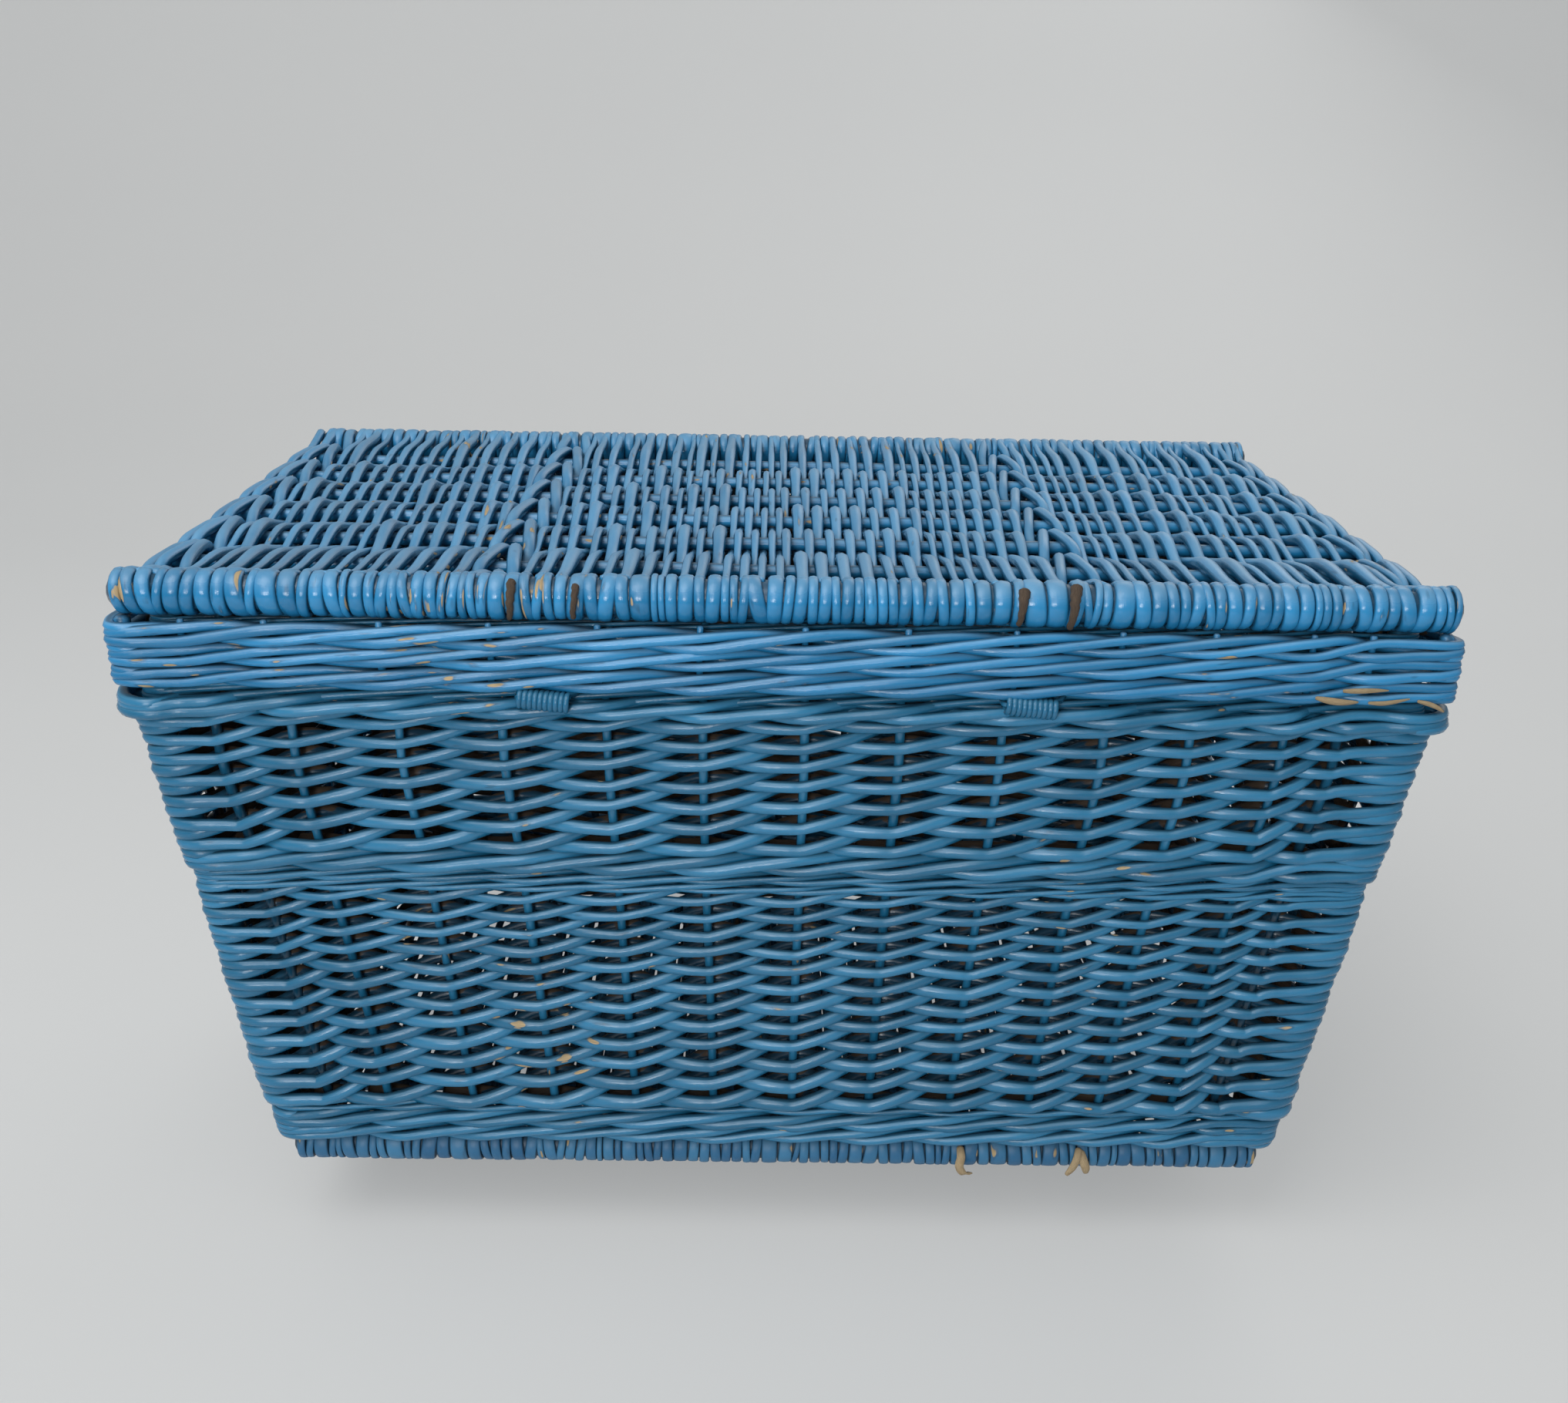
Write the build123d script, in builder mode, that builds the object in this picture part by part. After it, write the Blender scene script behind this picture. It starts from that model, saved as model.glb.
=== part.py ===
from build123d import *
import os
from math import cos, pi, radians, sin, sqrt, tan

# A painted willow trunk in square work: a tapered woven body with a ledge near its top, and a flat
# woven lid whose skirt drops over the rim. Millimetres, +Z up, front towards -Y, the origin under the
# middle of the trunk on the floor. A piece that rests on another stands "seat" clear of it.

# Overall sizes
skirt_length = 608.0  # over the lid's skirt, left to right
skirt_depth = 353.0  # over the lid's skirt, front to back
lid_top_height = 343.0  # floor to the top of the lid's rails

# Clearances
seat = 0.3  # between pieces that lie on each other
mitre_gap = 0.5  # from a rod's mitred end to the mitre plane
skirt_run = 0.8  # between the body's rim and the lid's skirt, all round

# Body walls: the line of the stakes, given at the foot, the shoulder and the rim. A drop is measured
# down from the top of the lid
wall_foot_height = 15.0
shoulder_drop = 71.0
wall_taper = 30.0  # how far the stakes lean out from foot to shoulder
rim_step = 4.5  # how far they come back in from shoulder to rim
rim_row_drop = 40.0

# Stakes and posts
stake_radius = 2.5
stake_pitch = 46.5  # at the shoulder
corner_stake_inset = 30.0  # last stake to the wall's corner, at the shoulder
post_radius = 6.0
side_stake_foot = 4.0  # the end walls' stakes reach down beside the base

# Woven panels
strand_thickness = 3.2
strand_height = 12.0
strand_pitch = 17.0
strand_clearance = 0.6  # strand to stake, where the strand passes it
panel_margin = 1.9  # from a panel to the wale above or below it
shoulder_margin = 1.0  # from the upper panel to the shoulder

# Wales: bands of rods laid round the body
upset_start = 19.0
upset_rod_radius = 2.9
upset_rows = 4
middle_start = 180.5
middle_rod_radius = 2.5
middle_rows = 4
backing_rod_radius = 1.6  # the rods on the inside of each wale
ledge_rod_radius = 2.6
ledge_drop = 65.4  # to its lowest rod

# Rim of the body, under the lid
rim_rod_radius = 1.2
rim_band_drop = 28.0
cap_rod_radius = 2.0

# Base
base_rail_radius = 9.4
base_height = 18.0  # the rails are worn flat below and dressed flat above
base_rail_inset = 4.5  # wall line to rail centre
base_stick_radius = 4.2
base_stick_count = 4
base_strap_count = 17
base_strap_width = 24.0
base_strap_thickness = 2.6

# Lid panel
lid_rail_radius = 11.0
lid_rail_front_inset = 1.5  # skirt face to rail face
lid_rail_overhang = 1.0  # rail end beyond the skirt's stake line
lid_stick_radius = 4.2
lid_stick_count = 6
lid_strap_thickness = 3.2
lid_strap_width = 15.4
lid_strap_pitch = 18.2
cord_width = 5.0
cord_thickness = 4.4
cord_gap = 0.6
cord_end_inset = 1.0
inner_cord_inset = 162.5  # skirt's end to the pair of cords a third of the way in

# Lid skirt
skirt_stake_radius = 1.8
skirt_rod_radius = 2.2
skirt_rows = 4
skirt_row_pitch = 5.1
skirt_backing_radius = 1.2
lid_post_radius = 3.5
skirt_edge_radius = 2.4  # the skirt's bottom rods; the back one is the hinge pin
skirt_edge_drop = 48.5
skirt_row_clearance = 6.2  # hinge axis to the lowest wale row, where the hinge loops pass

# Hinge loops and catches
hinge_inset = 88.0  # skirt's end to the loop
hinge_loop_width = 9.6
hinge_loop_wire = 1.8
catch_inset = 187.5  # skirt's end to the loop
catch_length = 24.0
catch_radius = 4.3
catch_groove = 0.9  # between the turns of its wrapping
catch_groove_width = 1.2
catch_turns = 6
catch_leg_radius = 1.3
catch_leg_reach = 17.5
catch_drop = 55.5
left_stub_offsets = (-12.0, 16.0)  # hasp stubs, left and right of the catch below them
right_stub_offsets = (-7.0, 16.0)
stub_width = 4.0
stub_thickness = 2.2
stub_sweep = 100.0  # degrees round the rail
stub_bends = 5

# Heights that hang from the lid's top
shoulder_height = lid_top_height - shoulder_drop
rim_row_height = lid_top_height - rim_row_drop
rim_band_height = lid_top_height - rim_band_drop
ledge_low_height = lid_top_height - ledge_drop
skirt_edge_height = lid_top_height - skirt_edge_drop
catch_height = lid_top_height - catch_drop

# Lines of the skirt, rim, shoulder and foot, as half sizes along X and Y
up = Vector(0, 0, 1)
skirt_out = skirt_stake_radius + seat + 2 * skirt_rod_radius
skirt_in = skirt_stake_radius + seat + 2 * skirt_backing_radius
skirt_x = skirt_length / 2 - skirt_out
skirt_y = skirt_depth / 2 - skirt_out
rim_out = stake_radius + seat + 2 * rim_rod_radius
shoulder_x = skirt_x - skirt_in - skirt_run - rim_out + rim_step
shoulder_y = skirt_y - skirt_in - skirt_run - rim_out + rim_step
wall_lean = wall_taper / (shoulder_height - wall_foot_height)
rim_lean = rim_step / (rim_row_height - shoulder_height)
post_inset = post_radius - stake_radius
weave_reach = stake_radius + strand_clearance + strand_thickness / 2

# Lid panel and hinge axis
rail_height = lid_top_height - lid_rail_radius
rail_y = skirt_depth / 2 - lid_rail_front_inset - lid_rail_radius
rail_half = skirt_x + lid_rail_overhang
hinge_y = skirt_y + skirt_stake_radius + seat + skirt_edge_radius
hinge_loop_bore = skirt_edge_radius + seat
trunk_reach = hinge_y + hinge_loop_bore + hinge_loop_wire
hinge_place = skirt_x - hinge_inset
catch_place = skirt_x - catch_inset
inner_cord_place = skirt_x - inner_cord_inset
stub_places = [offset - catch_place for offset in left_stub_offsets]
stub_places += [offset + catch_place for offset in right_stub_offsets]


def line_shift(height):
    """How far the stakes' line stands in from the shoulder at a height."""
    if height <= shoulder_height:
        return wall_lean * (shoulder_height - height)
    return rim_lean * (height - shoulder_height)


def line_x(height):
    return shoulder_x - line_shift(height)


def line_y(height):
    return shoulder_y - line_shift(height)


# The rim's cap rod lies against the underside of the lid's rails
cap_y = line_y(rail_height - lid_rail_radius)
cap_height = rail_height - sqrt(
    (lid_rail_radius + cap_rod_radius + seat) ** 2 - (rail_y - cap_y) ** 2
)
stake_top = cap_height - cap_rod_radius - seat
stake_foot = base_height + seat
base_half = line_x(side_stake_foot) - stake_radius - seat
base_rail_y = line_y(base_height / 2) - base_rail_inset

# Outward directions of the four walls
FRONT = Vector(0, -1, 0)
BACK = Vector(0, 1, 0)
LEFT = Vector(-1, 0, 0)
RIGHT = Vector(1, 0, 0)
walls = (FRONT, BACK, LEFT, RIGHT)


def wall_half(out, height):
    """Half the length of a wall's line at a height."""
    return line_x(height) if out.X == 0 else line_y(height)


def wall_distance(out, height):
    """From the trunk's middle to a wall's line at a height."""
    return line_y(height) if out.X == 0 else line_x(height)


def stake_shares(out):
    """Where a wall's stakes stand, as shares of the wall's half length, left to right."""
    half = wall_half(out, shoulder_height)
    last = half - corner_stake_inset
    count = int((last - stake_pitch / 2) / stake_pitch)
    places = [stake_pitch * step for step in range(-count, count + 1)]
    return [place / half for place in [-last, *places, last]]


def ngon(radius, sides=6, stretch=1.0):
    """Points of a regular outline, drawn out by stretch along its first axis."""
    turn = 2 * pi / sides
    return [
        (stretch * radius * cos(turn * step), radius * sin(turn * step))
        for step in range(sides)
    ]


def straight_rod(start, end, out, radius, sides=6):
    """A rod with square ends."""
    along = end - start
    with BuildSketch(Plane(origin=start, x_dir=out, z_dir=along)) as section:
        with BuildLine():
            Polyline(*ngon(radius, sides), close=True)
        make_face()
    extrude(section.sketch, amount=along.length)


def rod(start, end, out, radius, start_mitred, end_mitred):
    """A six-sided rod between two points of a side, mitred where it turns a corner."""
    along = (end - start).normalized()
    overrun = 2 * radius
    first = start - along * overrun * start_mitred
    last = end + along * overrun * end_mitred
    with BuildPart(mode=Mode.PRIVATE) as piece:
        straight_rod(first, last, out, radius)
        for point, mitred, way in ((start, start_mitred, 1), (end, end_mitred, -1)):
            if mitred:
                corner = point + along * way * mitre_gap
                split(bisect_by=Plane(origin=corner, z_dir=out + along * way), keep=Keep.TOP)
    add(piece.part)


def rod_ring(height, half_x, half_y, radius, sides=walls):
    """Rods round the trunk at one height, mitred where they meet at the corners."""
    for out in sides:
        half = half_x if out.X == 0 else half_y
        middle = out * (half_y if out.X == 0 else half_x) + up * height
        along = out.cross(up)
        rod(middle - along * half, middle + along * half, out, radius, True, True)


def backing_rods(height, half_x, half_y, radius, set_back):
    """Straight rods along the inside of the walls, which stop short of the posts."""
    for out in walls:
        half = (half_x if out.X == 0 else half_y) - set_back
        middle = out * (half_y if out.X == 0 else half_x) + up * height
        along = out.cross(up)
        straight_rod(middle - along * half, middle + along * half, out, radius)


def body_ring(height, radius, extra=0.0):
    """A ring of rods against the outside of the body's stakes."""
    off = stake_radius + seat + radius + extra
    rod_ring(height, line_x(height) + off, line_y(height) + off, radius)


def body_backing(height, radius=backing_rod_radius):
    """Rods against the inside of the body's stakes."""
    off = stake_radius + seat + radius
    clear = post_inset + post_radius + seat - off
    backing_rods(height, line_x(height) - off, line_y(height) - off, radius, clear)


def upright(path, radius, sides):
    """A stake or post through the given points, lofted from level sections."""
    sections = []
    for point in path:
        with BuildSketch(Plane(origin=point)) as section:
            with BuildLine():
                Polyline(*ngon(radius, sides), close=True)
            make_face()
        sections.append(section.sketch)
    loft(sections=sections, ruled=True)


def body_upright(place, foot, radius, sides):
    """An upright that follows the walls' line. place gives its X and Y at a height."""
    heights = (foot, shoulder_height, stake_top)
    upright([Vector(*place(height), height) for height in heights], radius, sides)


# Base

def base_rail(side):
    with BuildPart() as rail:
        with BuildSketch(Plane(origin=(0, side * base_rail_y, base_height / 2), z_dir=(1, 0, 0))):
            Circle(base_rail_radius)
            Rectangle(base_height, 2 * base_rail_radius, mode=Mode.INTERSECT)
        extrude(amount=base_half, both=True)
    return rail


base_front_rail = base_rail(-1)
base_back_rail = base_rail(1)


def stick_places(rail_place, count):
    """Centres of the sticks that share out the space between two rails."""
    pitch = 2 * rail_place / (count + 1)
    return [-rail_place + pitch * (step + 1) for step in range(count)]


def stick_row(places, height, radius, half):
    with BuildPart() as sticks:
        for place in places:
            with BuildSketch(Plane(origin=(0, place, height), z_dir=(1, 0, 0))):
                with BuildLine():
                    Polyline(*ngon(radius, sides=8), close=True)
                make_face()
        extrude(amount=half, both=True)
    return sticks


base_stick_places = stick_places(base_rail_y, base_stick_count)
base_sticks = stick_row(base_stick_places, base_height / 2, base_stick_radius, base_half)


def strap_outline(places, end, reach, thickness, first):
    """The side view of a strap that goes over and under the sticks, from rail to rail."""
    middle = [(-end, 0.0)]
    middle += [(place, first * reach * (-1) ** step) for step, place in enumerate(places)]
    middle += [(end, 0.0)]
    top = [(y, z + thickness / 2) for y, z in middle]
    bottom = [(y, z - thickness / 2) for y, z in middle]
    return top + bottom[::-1]


def strap_plane(x, height):
    return Plane(origin=(x, 0, height), x_dir=(0, 1, 0), z_dir=(1, 0, 0))


base_strap_end = base_rail_y - base_rail_radius - seat
base_strap_reach = base_stick_radius + seat + base_strap_thickness / 2
base_strap_step = (2 * base_half - base_strap_width) / (base_strap_count - 1)

with BuildPart() as base_weave:
    for number in range(base_strap_count):
        low_side = -base_half + base_strap_step * number
        with BuildSketch(strap_plane(low_side, base_height / 2)):
            with BuildLine():
                Polyline(
                    *strap_outline(
                        base_stick_places,
                        base_strap_end,
                        base_strap_reach,
                        base_strap_thickness,
                        (-1) ** number,
                    ),
                    close=True,
                )
            make_face()
    extrude(amount=base_strap_width)


# Stakes and corner posts

def wall_stakes(out, foot):
    along = out.cross(up)
    with BuildPart() as stakes:
        for share in stake_shares(out):
            def place(height):
                spot = out * wall_distance(out, height) + along * (share * wall_half(out, height))
                return spot.X, spot.Y
            body_upright(place, foot, stake_radius, 6)
    return stakes


front_stakes = wall_stakes(FRONT, stake_foot)
back_stakes = wall_stakes(BACK, stake_foot)
left_stakes = wall_stakes(LEFT, side_stake_foot)
right_stakes = wall_stakes(RIGHT, side_stake_foot)


def corner_post(side_x, side_y):
    with BuildPart() as post:
        body_upright(
            lambda height: (
                side_x * (line_x(height) - post_inset),
                side_y * (line_y(height) - post_inset),
            ),
            stake_foot,
            post_radius,
            10,
        )
    return post


front_left_post = corner_post(-1, -1)
front_right_post = corner_post(1, -1)
back_left_post = corner_post(-1, 1)
back_right_post = corner_post(1, 1)


# Rows of the two wales, and the panels between them

def wale_heights(start, radius, rows):
    pitch = 2 * radius + seat
    return [start + radius + pitch * row for row in range(rows)]


upset_heights = wale_heights(upset_start, upset_rod_radius, upset_rows)
middle_heights = wale_heights(middle_start, middle_rod_radius, middle_rows)
lower_weave_start = upset_heights[-1] + upset_rod_radius + panel_margin
lower_weave_end = middle_start - panel_margin
upper_weave_start = middle_heights[-1] + middle_rod_radius + panel_margin
upper_weave_end = shoulder_height - shoulder_margin


# Woven panels: each strand passes in front of one stake and behind the next, and turns the corner
# outside or inside its post

def corner_turn(half_low, half_high, offset):
    """Three points of a strand that rounds the outside of a post, from the wall to the mitre.

    The wall is half_low long at the strand's lower edge and half_high at its upper edge, and the
    strand clears the post at both. offset is the point's distance from the strand's inner face.
    """
    radius = post_radius + strand_clearance + offset
    face = radius - post_inset
    near = (half_low - post_inset - radius * tan(pi / 8), face)
    knee = (half_high - post_inset + radius * tan(pi / 8), face)
    depth = half_high - half_low + radius * cos(pi / 4) - post_inset
    tip = (half_low + depth - mitre_gap, depth)
    return [near, knee, tip]


def inside_turn(half_low, last, offset):
    """Two points of a strand that dips behind a post: past the last stake, and at the mitre."""
    face = stake_radius + strand_clearance + strand_thickness - offset
    depth = post_inset + post_radius + strand_clearance + offset
    return [(last + stake_radius, face), (half_low - depth - mitre_gap, -depth)]


def strand_outline(out, low, high, outside):
    """A strand seen from above, in the wall's own plane: x along the wall, y outwards."""
    half = wall_half(out, (low + high) / 2)
    half_low = wall_half(out, low)
    first = -1 if outside else 1
    run = [
        (share * half, first * weave_reach * (-1) ** step)
        for step, share in enumerate(stake_shares(out))
    ]
    outer = [(x, y + strand_thickness / 2) for x, y in run]
    inner = [(x, y - strand_thickness / 2) for x, y in run]
    if outside:
        outer_end = corner_turn(half_low, wall_half(out, high), strand_thickness)
        inner_end = corner_turn(half_low, wall_half(out, high), 0)
    else:
        outer_end = inside_turn(half_low, run[-1][0], 0)
        inner_end = inside_turn(half_low, run[-1][0], strand_thickness)
    outer_start = [(-x, y) for x, y in outer_end[::-1]]
    inner_start = [(-x, y) for x, y in inner_end[::-1]]
    return outer_start + outer + outer_end + (inner_start + inner + inner_end)[::-1]


def woven_panel(out, low, high):
    slope = (up + out * wall_lean).normalized()
    rows = round((high - low) / strand_pitch)
    pitch = (high - low) / rows
    with BuildPart() as panel:
        for row in range(rows):
            height = low + pitch * (row + 0.5) - strand_height / 2
            origin = out * wall_distance(out, height) + up * height
            with BuildSketch(Plane(origin=origin, x_dir=out.cross(up), z_dir=slope)):
                with BuildLine():
                    outline = strand_outline(out, height, height + strand_height, row % 2 == 0)
                    Polyline(*outline, close=True)
                make_face()
        extrude(amount=strand_height)
    return panel


lower_weaves = [woven_panel(out, lower_weave_start, lower_weave_end) for out in walls]
upper_weaves = [woven_panel(out, upper_weave_start, upper_weave_end) for out in walls]


# Wales and rim

with BuildPart() as upset_wale:
    for height in upset_heights:
        body_ring(height, upset_rod_radius)
    body_backing(sum(upset_heights) / upset_rows)

with BuildPart() as middle_wale:
    for height in middle_heights:
        body_ring(height, middle_rod_radius)
    body_backing(sum(middle_heights) / middle_rows)

ledge_pitch = 2 * ledge_rod_radius + seat
ledge_top_height = ledge_low_height + ledge_pitch
ledge_nose = ledge_pitch * sqrt(3) / 2
# Both back rods hang on the line at the lower one, so that the bundle stands upright
ledge_middle = ledge_low_height + ledge_pitch / 2

with BuildPart() as ledge_wale:
    ledge_off = stake_radius + seat + ledge_rod_radius
    ledge_x = line_x(ledge_low_height) + ledge_off
    ledge_y = line_y(ledge_low_height) + ledge_off
    for height, nose in (
        (ledge_low_height, 0),
        (ledge_middle, ledge_nose),
        (ledge_top_height, 0),
    ):
        rod_ring(height, ledge_x + nose, ledge_y + nose, ledge_rod_radius)
    body_backing(ledge_middle)

with BuildPart() as rim_band:
    for height in (rim_row_height, rim_band_height):
        body_ring(height, rim_rod_radius)
        body_backing(height, rim_rod_radius)

with BuildPart() as rim_cap:
    rod_ring(cap_height, line_x(cap_height), line_y(cap_height), cap_rod_radius)


# Hinge loops: each goes round the ledge's rods and the lid's hinge pin

def loop_turn(radius):
    """A twelve-sided turn of a loop, radius being that of the round it goes about."""
    RegularPolygon(radius, 12, major_radius=False, rotation=15)


def hinge_loop(x):
    loop_low = (ledge_y + ledge_nose / 3, ledge_middle)
    low_radius = ledge_pitch / sqrt(3) + ledge_rod_radius + seat
    with BuildPart() as loop:
        with BuildSketch(strap_plane(x - hinge_loop_width / 2, 0)):
            for wall, mode in ((hinge_loop_wire, Mode.ADD), (0, Mode.SUBTRACT)):
                with BuildSketch(mode=mode):
                    with Locations(loop_low):
                        loop_turn(low_radius + wall)
                    with Locations((hinge_y, skirt_edge_height)):
                        loop_turn(hinge_loop_bore + wall)
                    make_hull()
        extrude(amount=hinge_loop_width)
    return loop


left_hinge_loop = hinge_loop(-hinge_place)
right_hinge_loop = hinge_loop(hinge_place)


# Catch loops: a wrapped bar on two legs that run back over the ledge

def catch_loop(x):
    start = Vector(x - catch_length / 2, catch_radius - trunk_reach, catch_height)
    turn = catch_length / catch_turns
    with BuildPart() as loop:
        core_radius = catch_radius - catch_groove
        straight_rod(start, start + RIGHT * catch_length, BACK, core_radius, 8)
        for number in range(catch_turns):
            turn_start = start + RIGHT * (turn * number + catch_groove_width / 2)
            turn_end = turn_start + RIGHT * (turn - catch_groove_width)
            straight_rod(turn_start, turn_end, BACK, catch_radius, 8)
        for place in (catch_leg_radius, catch_length - catch_leg_radius):
            leg_start = start + RIGHT * place
            straight_rod(leg_start, leg_start + BACK * catch_leg_reach, up, catch_leg_radius)
    return loop


left_catch_loop = catch_loop(-catch_place)
right_catch_loop = catch_loop(catch_place)


# Lid panel

def lid_rail(side):
    with BuildPart() as rail:
        with BuildSketch(Plane(origin=(0, side * rail_y, rail_height), z_dir=(1, 0, 0))):
            Circle(lid_rail_radius)
        extrude(amount=rail_half, both=True)
    return rail


lid_front_rail = lid_rail(-1)
lid_back_rail = lid_rail(1)
lid_stick_places = stick_places(rail_y, lid_stick_count)
lid_sticks = stick_row(lid_stick_places, rail_height, lid_stick_radius, rail_half)

lid_strap_end = rail_y - lid_rail_radius - seat
lid_strap_reach = lid_stick_radius + seat + lid_strap_thickness / 2
cord_reach = lid_stick_radius + seat + cord_thickness / 2
end_cord_x = rail_half - cord_end_inset - cord_width - cord_gap / 2
cord_half_band = cord_width + cord_gap


def cord_pair(middle_x):
    """Two cords side by side that cross the sticks in opposite turns."""
    with BuildPart() as pair:
        for low_side, first in ((-cord_width - cord_gap / 2, 1), (cord_gap / 2, -1)):
            with BuildSketch(strap_plane(middle_x + low_side, rail_height)):
                with BuildLine():
                    Polyline(
                        *strap_outline(
                            lid_stick_places, lid_strap_end, cord_reach, cord_thickness, first
                        ),
                        close=True,
                    )
                make_face()
        extrude(amount=cord_width)
    return pair


left_end_cords = cord_pair(-end_cord_x)
right_end_cords = cord_pair(end_cord_x)
left_inner_cords = cord_pair(-inner_cord_place)
right_inner_cords = cord_pair(inner_cord_place)


def strap_starts(low, high):
    """Low sides of the straps that fill the space between two X places."""
    count = round((high - low) / lid_strap_pitch)
    pitch = (high - low) / count
    return [low + pitch * (number + 0.5) - lid_strap_width / 2 for number in range(count)]


lid_bays = (
    (-end_cord_x + cord_half_band, -inner_cord_place - cord_half_band),
    (-inner_cord_place + cord_half_band, inner_cord_place - cord_half_band),
    (inner_cord_place + cord_half_band, end_cord_x - cord_half_band),
)

with BuildPart() as lid_weave:
    for bay in lid_bays:
        for number, low_side in enumerate(strap_starts(*bay)):
            with BuildSketch(strap_plane(low_side, rail_height)):
                with BuildLine():
                    Polyline(
                        *strap_outline(
                            lid_stick_places,
                            lid_strap_end,
                            lid_strap_reach,
                            lid_strap_thickness,
                            (-1) ** number,
                        ),
                        close=True,
                    )
                make_face()
    extrude(amount=lid_strap_width)


# Lid skirt

skirt_top = rail_height - lid_rail_radius - seat
skirt_row_heights = [
    skirt_edge_height + skirt_row_clearance + skirt_rod_radius + skirt_row_pitch * row
    for row in range(skirt_rows)
]
skirt_foot = skirt_edge_height - skirt_edge_radius


def skirt_upright(x, y, radius, sides):
    upright([Vector(x, y, skirt_foot), Vector(x, y, skirt_top)], radius, sides)


def skirt_stakes(out):
    along = out.cross(up)
    half = skirt_x if out.X == 0 else skirt_y
    distance = skirt_y if out.X == 0 else skirt_x
    with BuildPart() as stakes:
        for share in stake_shares(out):
            spot = out * distance + along * (share * half)
            skirt_upright(spot.X, spot.Y, skirt_stake_radius, 4)
    return stakes


skirt_stake_rows = [skirt_stakes(out) for out in walls]

with BuildPart() as lid_posts:
    lid_post_inset = lid_post_radius - skirt_stake_radius
    for side_x in (-1, 1):
        for side_y in (-1, 1):
            skirt_upright(
                side_x * (skirt_x - lid_post_inset),
                side_y * (skirt_y - lid_post_inset),
                lid_post_radius,
                6,
            )


def skirt_wale(out):
    off = skirt_stake_radius + seat + skirt_rod_radius
    with BuildPart() as wale:
        for height in skirt_row_heights:
            rod_ring(height, skirt_x + off, skirt_y + off, skirt_rod_radius, (out,))
    return wale


skirt_wales = [skirt_wale(out) for out in walls]

with BuildPart() as skirt_backing:
    backing_off = skirt_stake_radius + seat + skirt_backing_radius
    for height in (skirt_row_heights[0], skirt_row_heights[-1]):
        backing_rods(
            height,
            skirt_x - backing_off,
            skirt_y - backing_off,
            skirt_backing_radius,
            2 * lid_post_radius,
        )

edge_off = hinge_y - skirt_y
edge_half_x = skirt_x + edge_off
pin_half = edge_half_x - skirt_edge_radius - seat

with BuildPart() as lid_hinge_pin:
    with BuildSketch(Plane(origin=(0, hinge_y, skirt_edge_height), z_dir=(1, 0, 0))):
        Circle(skirt_edge_radius)
    extrude(amount=pin_half, both=True)

with BuildPart() as skirt_edge:
    rod_ring(skirt_edge_height, edge_half_x, hinge_y, skirt_edge_radius, (FRONT,))
    for out, front_first in ((LEFT, False), (RIGHT, True)):
        corner = out * edge_half_x + up * skirt_edge_height
        front_end = corner - BACK * hinge_y
        back_end = corner + BACK * hinge_y
        if front_first:
            rod(front_end, back_end, out, skirt_edge_radius, True, False)
        else:
            rod(back_end, front_end, out, skirt_edge_radius, False, True)


# Stubs of the two broken hasps, bent over the front rail

def stub_arc(radius):
    """Points of a bend that stands clear of the rail all along, from below to above."""
    step = radians(stub_sweep) / stub_bends
    reach = radius / cos(step / 2)
    angles = [pi + step * (stub_bends / 2 - number) for number in range(stub_bends + 1)]
    return [(reach * cos(angle), reach * sin(angle)) for angle in angles]


with BuildPart() as hasp_stubs:
    for x in stub_places:
        stub_plane = Plane(
            origin=(x - stub_width / 2, -rail_y, rail_height), x_dir=(0, 1, 0), z_dir=(1, 0, 0)
        )
        with BuildSketch(stub_plane):
            with BuildLine():
                inner_bend = stub_arc(lid_rail_radius + seat)
                outer_bend = stub_arc(lid_rail_radius + seat + stub_thickness)
                Polyline(*inner_bend, *outer_bend[::-1], close=True)
            make_face()
    extrude(amount=stub_width)


pieces = {
    "base_front_rail": base_front_rail,
    "base_back_rail": base_back_rail,
    "base_sticks": base_sticks,
    "base_weave": base_weave,
    "front_stakes": front_stakes,
    "back_stakes": back_stakes,
    "left_stakes": left_stakes,
    "right_stakes": right_stakes,
    "front_left_post": front_left_post,
    "front_right_post": front_right_post,
    "back_left_post": back_left_post,
    "back_right_post": back_right_post,
    "upset_wale": upset_wale,
    "middle_wale": middle_wale,
    "ledge_wale": ledge_wale,
    "rim_band": rim_band,
    "rim_cap": rim_cap,
    "left_hinge_loop": left_hinge_loop,
    "right_hinge_loop": right_hinge_loop,
    "left_catch_loop": left_catch_loop,
    "right_catch_loop": right_catch_loop,
    "lid_front_rail": lid_front_rail,
    "lid_back_rail": lid_back_rail,
    "lid_sticks": lid_sticks,
    "lid_weave": lid_weave,
    "left_end_cords": left_end_cords,
    "right_end_cords": right_end_cords,
    "left_inner_cords": left_inner_cords,
    "right_inner_cords": right_inner_cords,
    "lid_posts": lid_posts,
    "skirt_backing": skirt_backing,
    "skirt_edge": skirt_edge,
    "lid_hinge_pin": lid_hinge_pin,
    "hasp_stubs": hasp_stubs,
}
for wall_name, lower, upper, stakes, wale in zip(
    ("front", "back", "left", "right"), lower_weaves, upper_weaves, skirt_stake_rows, skirt_wales
):
    pieces[f"{wall_name}_lower_weave"] = lower
    pieces[f"{wall_name}_upper_weave"] = upper
    pieces[f"{wall_name}_skirt_stakes"] = stakes
    pieces[f"{wall_name}_skirt_wale"] = wale

os.makedirs("parts", exist_ok=True)
for name, piece in pieces.items():
    piece.part.label = name
    export_step(piece.part, f"parts/{name}.step")
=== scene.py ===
import logging
import math
from dataclasses import dataclass
from enum import Enum
from typing import Callable, Iterator, Sequence

import bpy
import numpy as np
from mathutils import Matrix, Vector


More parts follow.
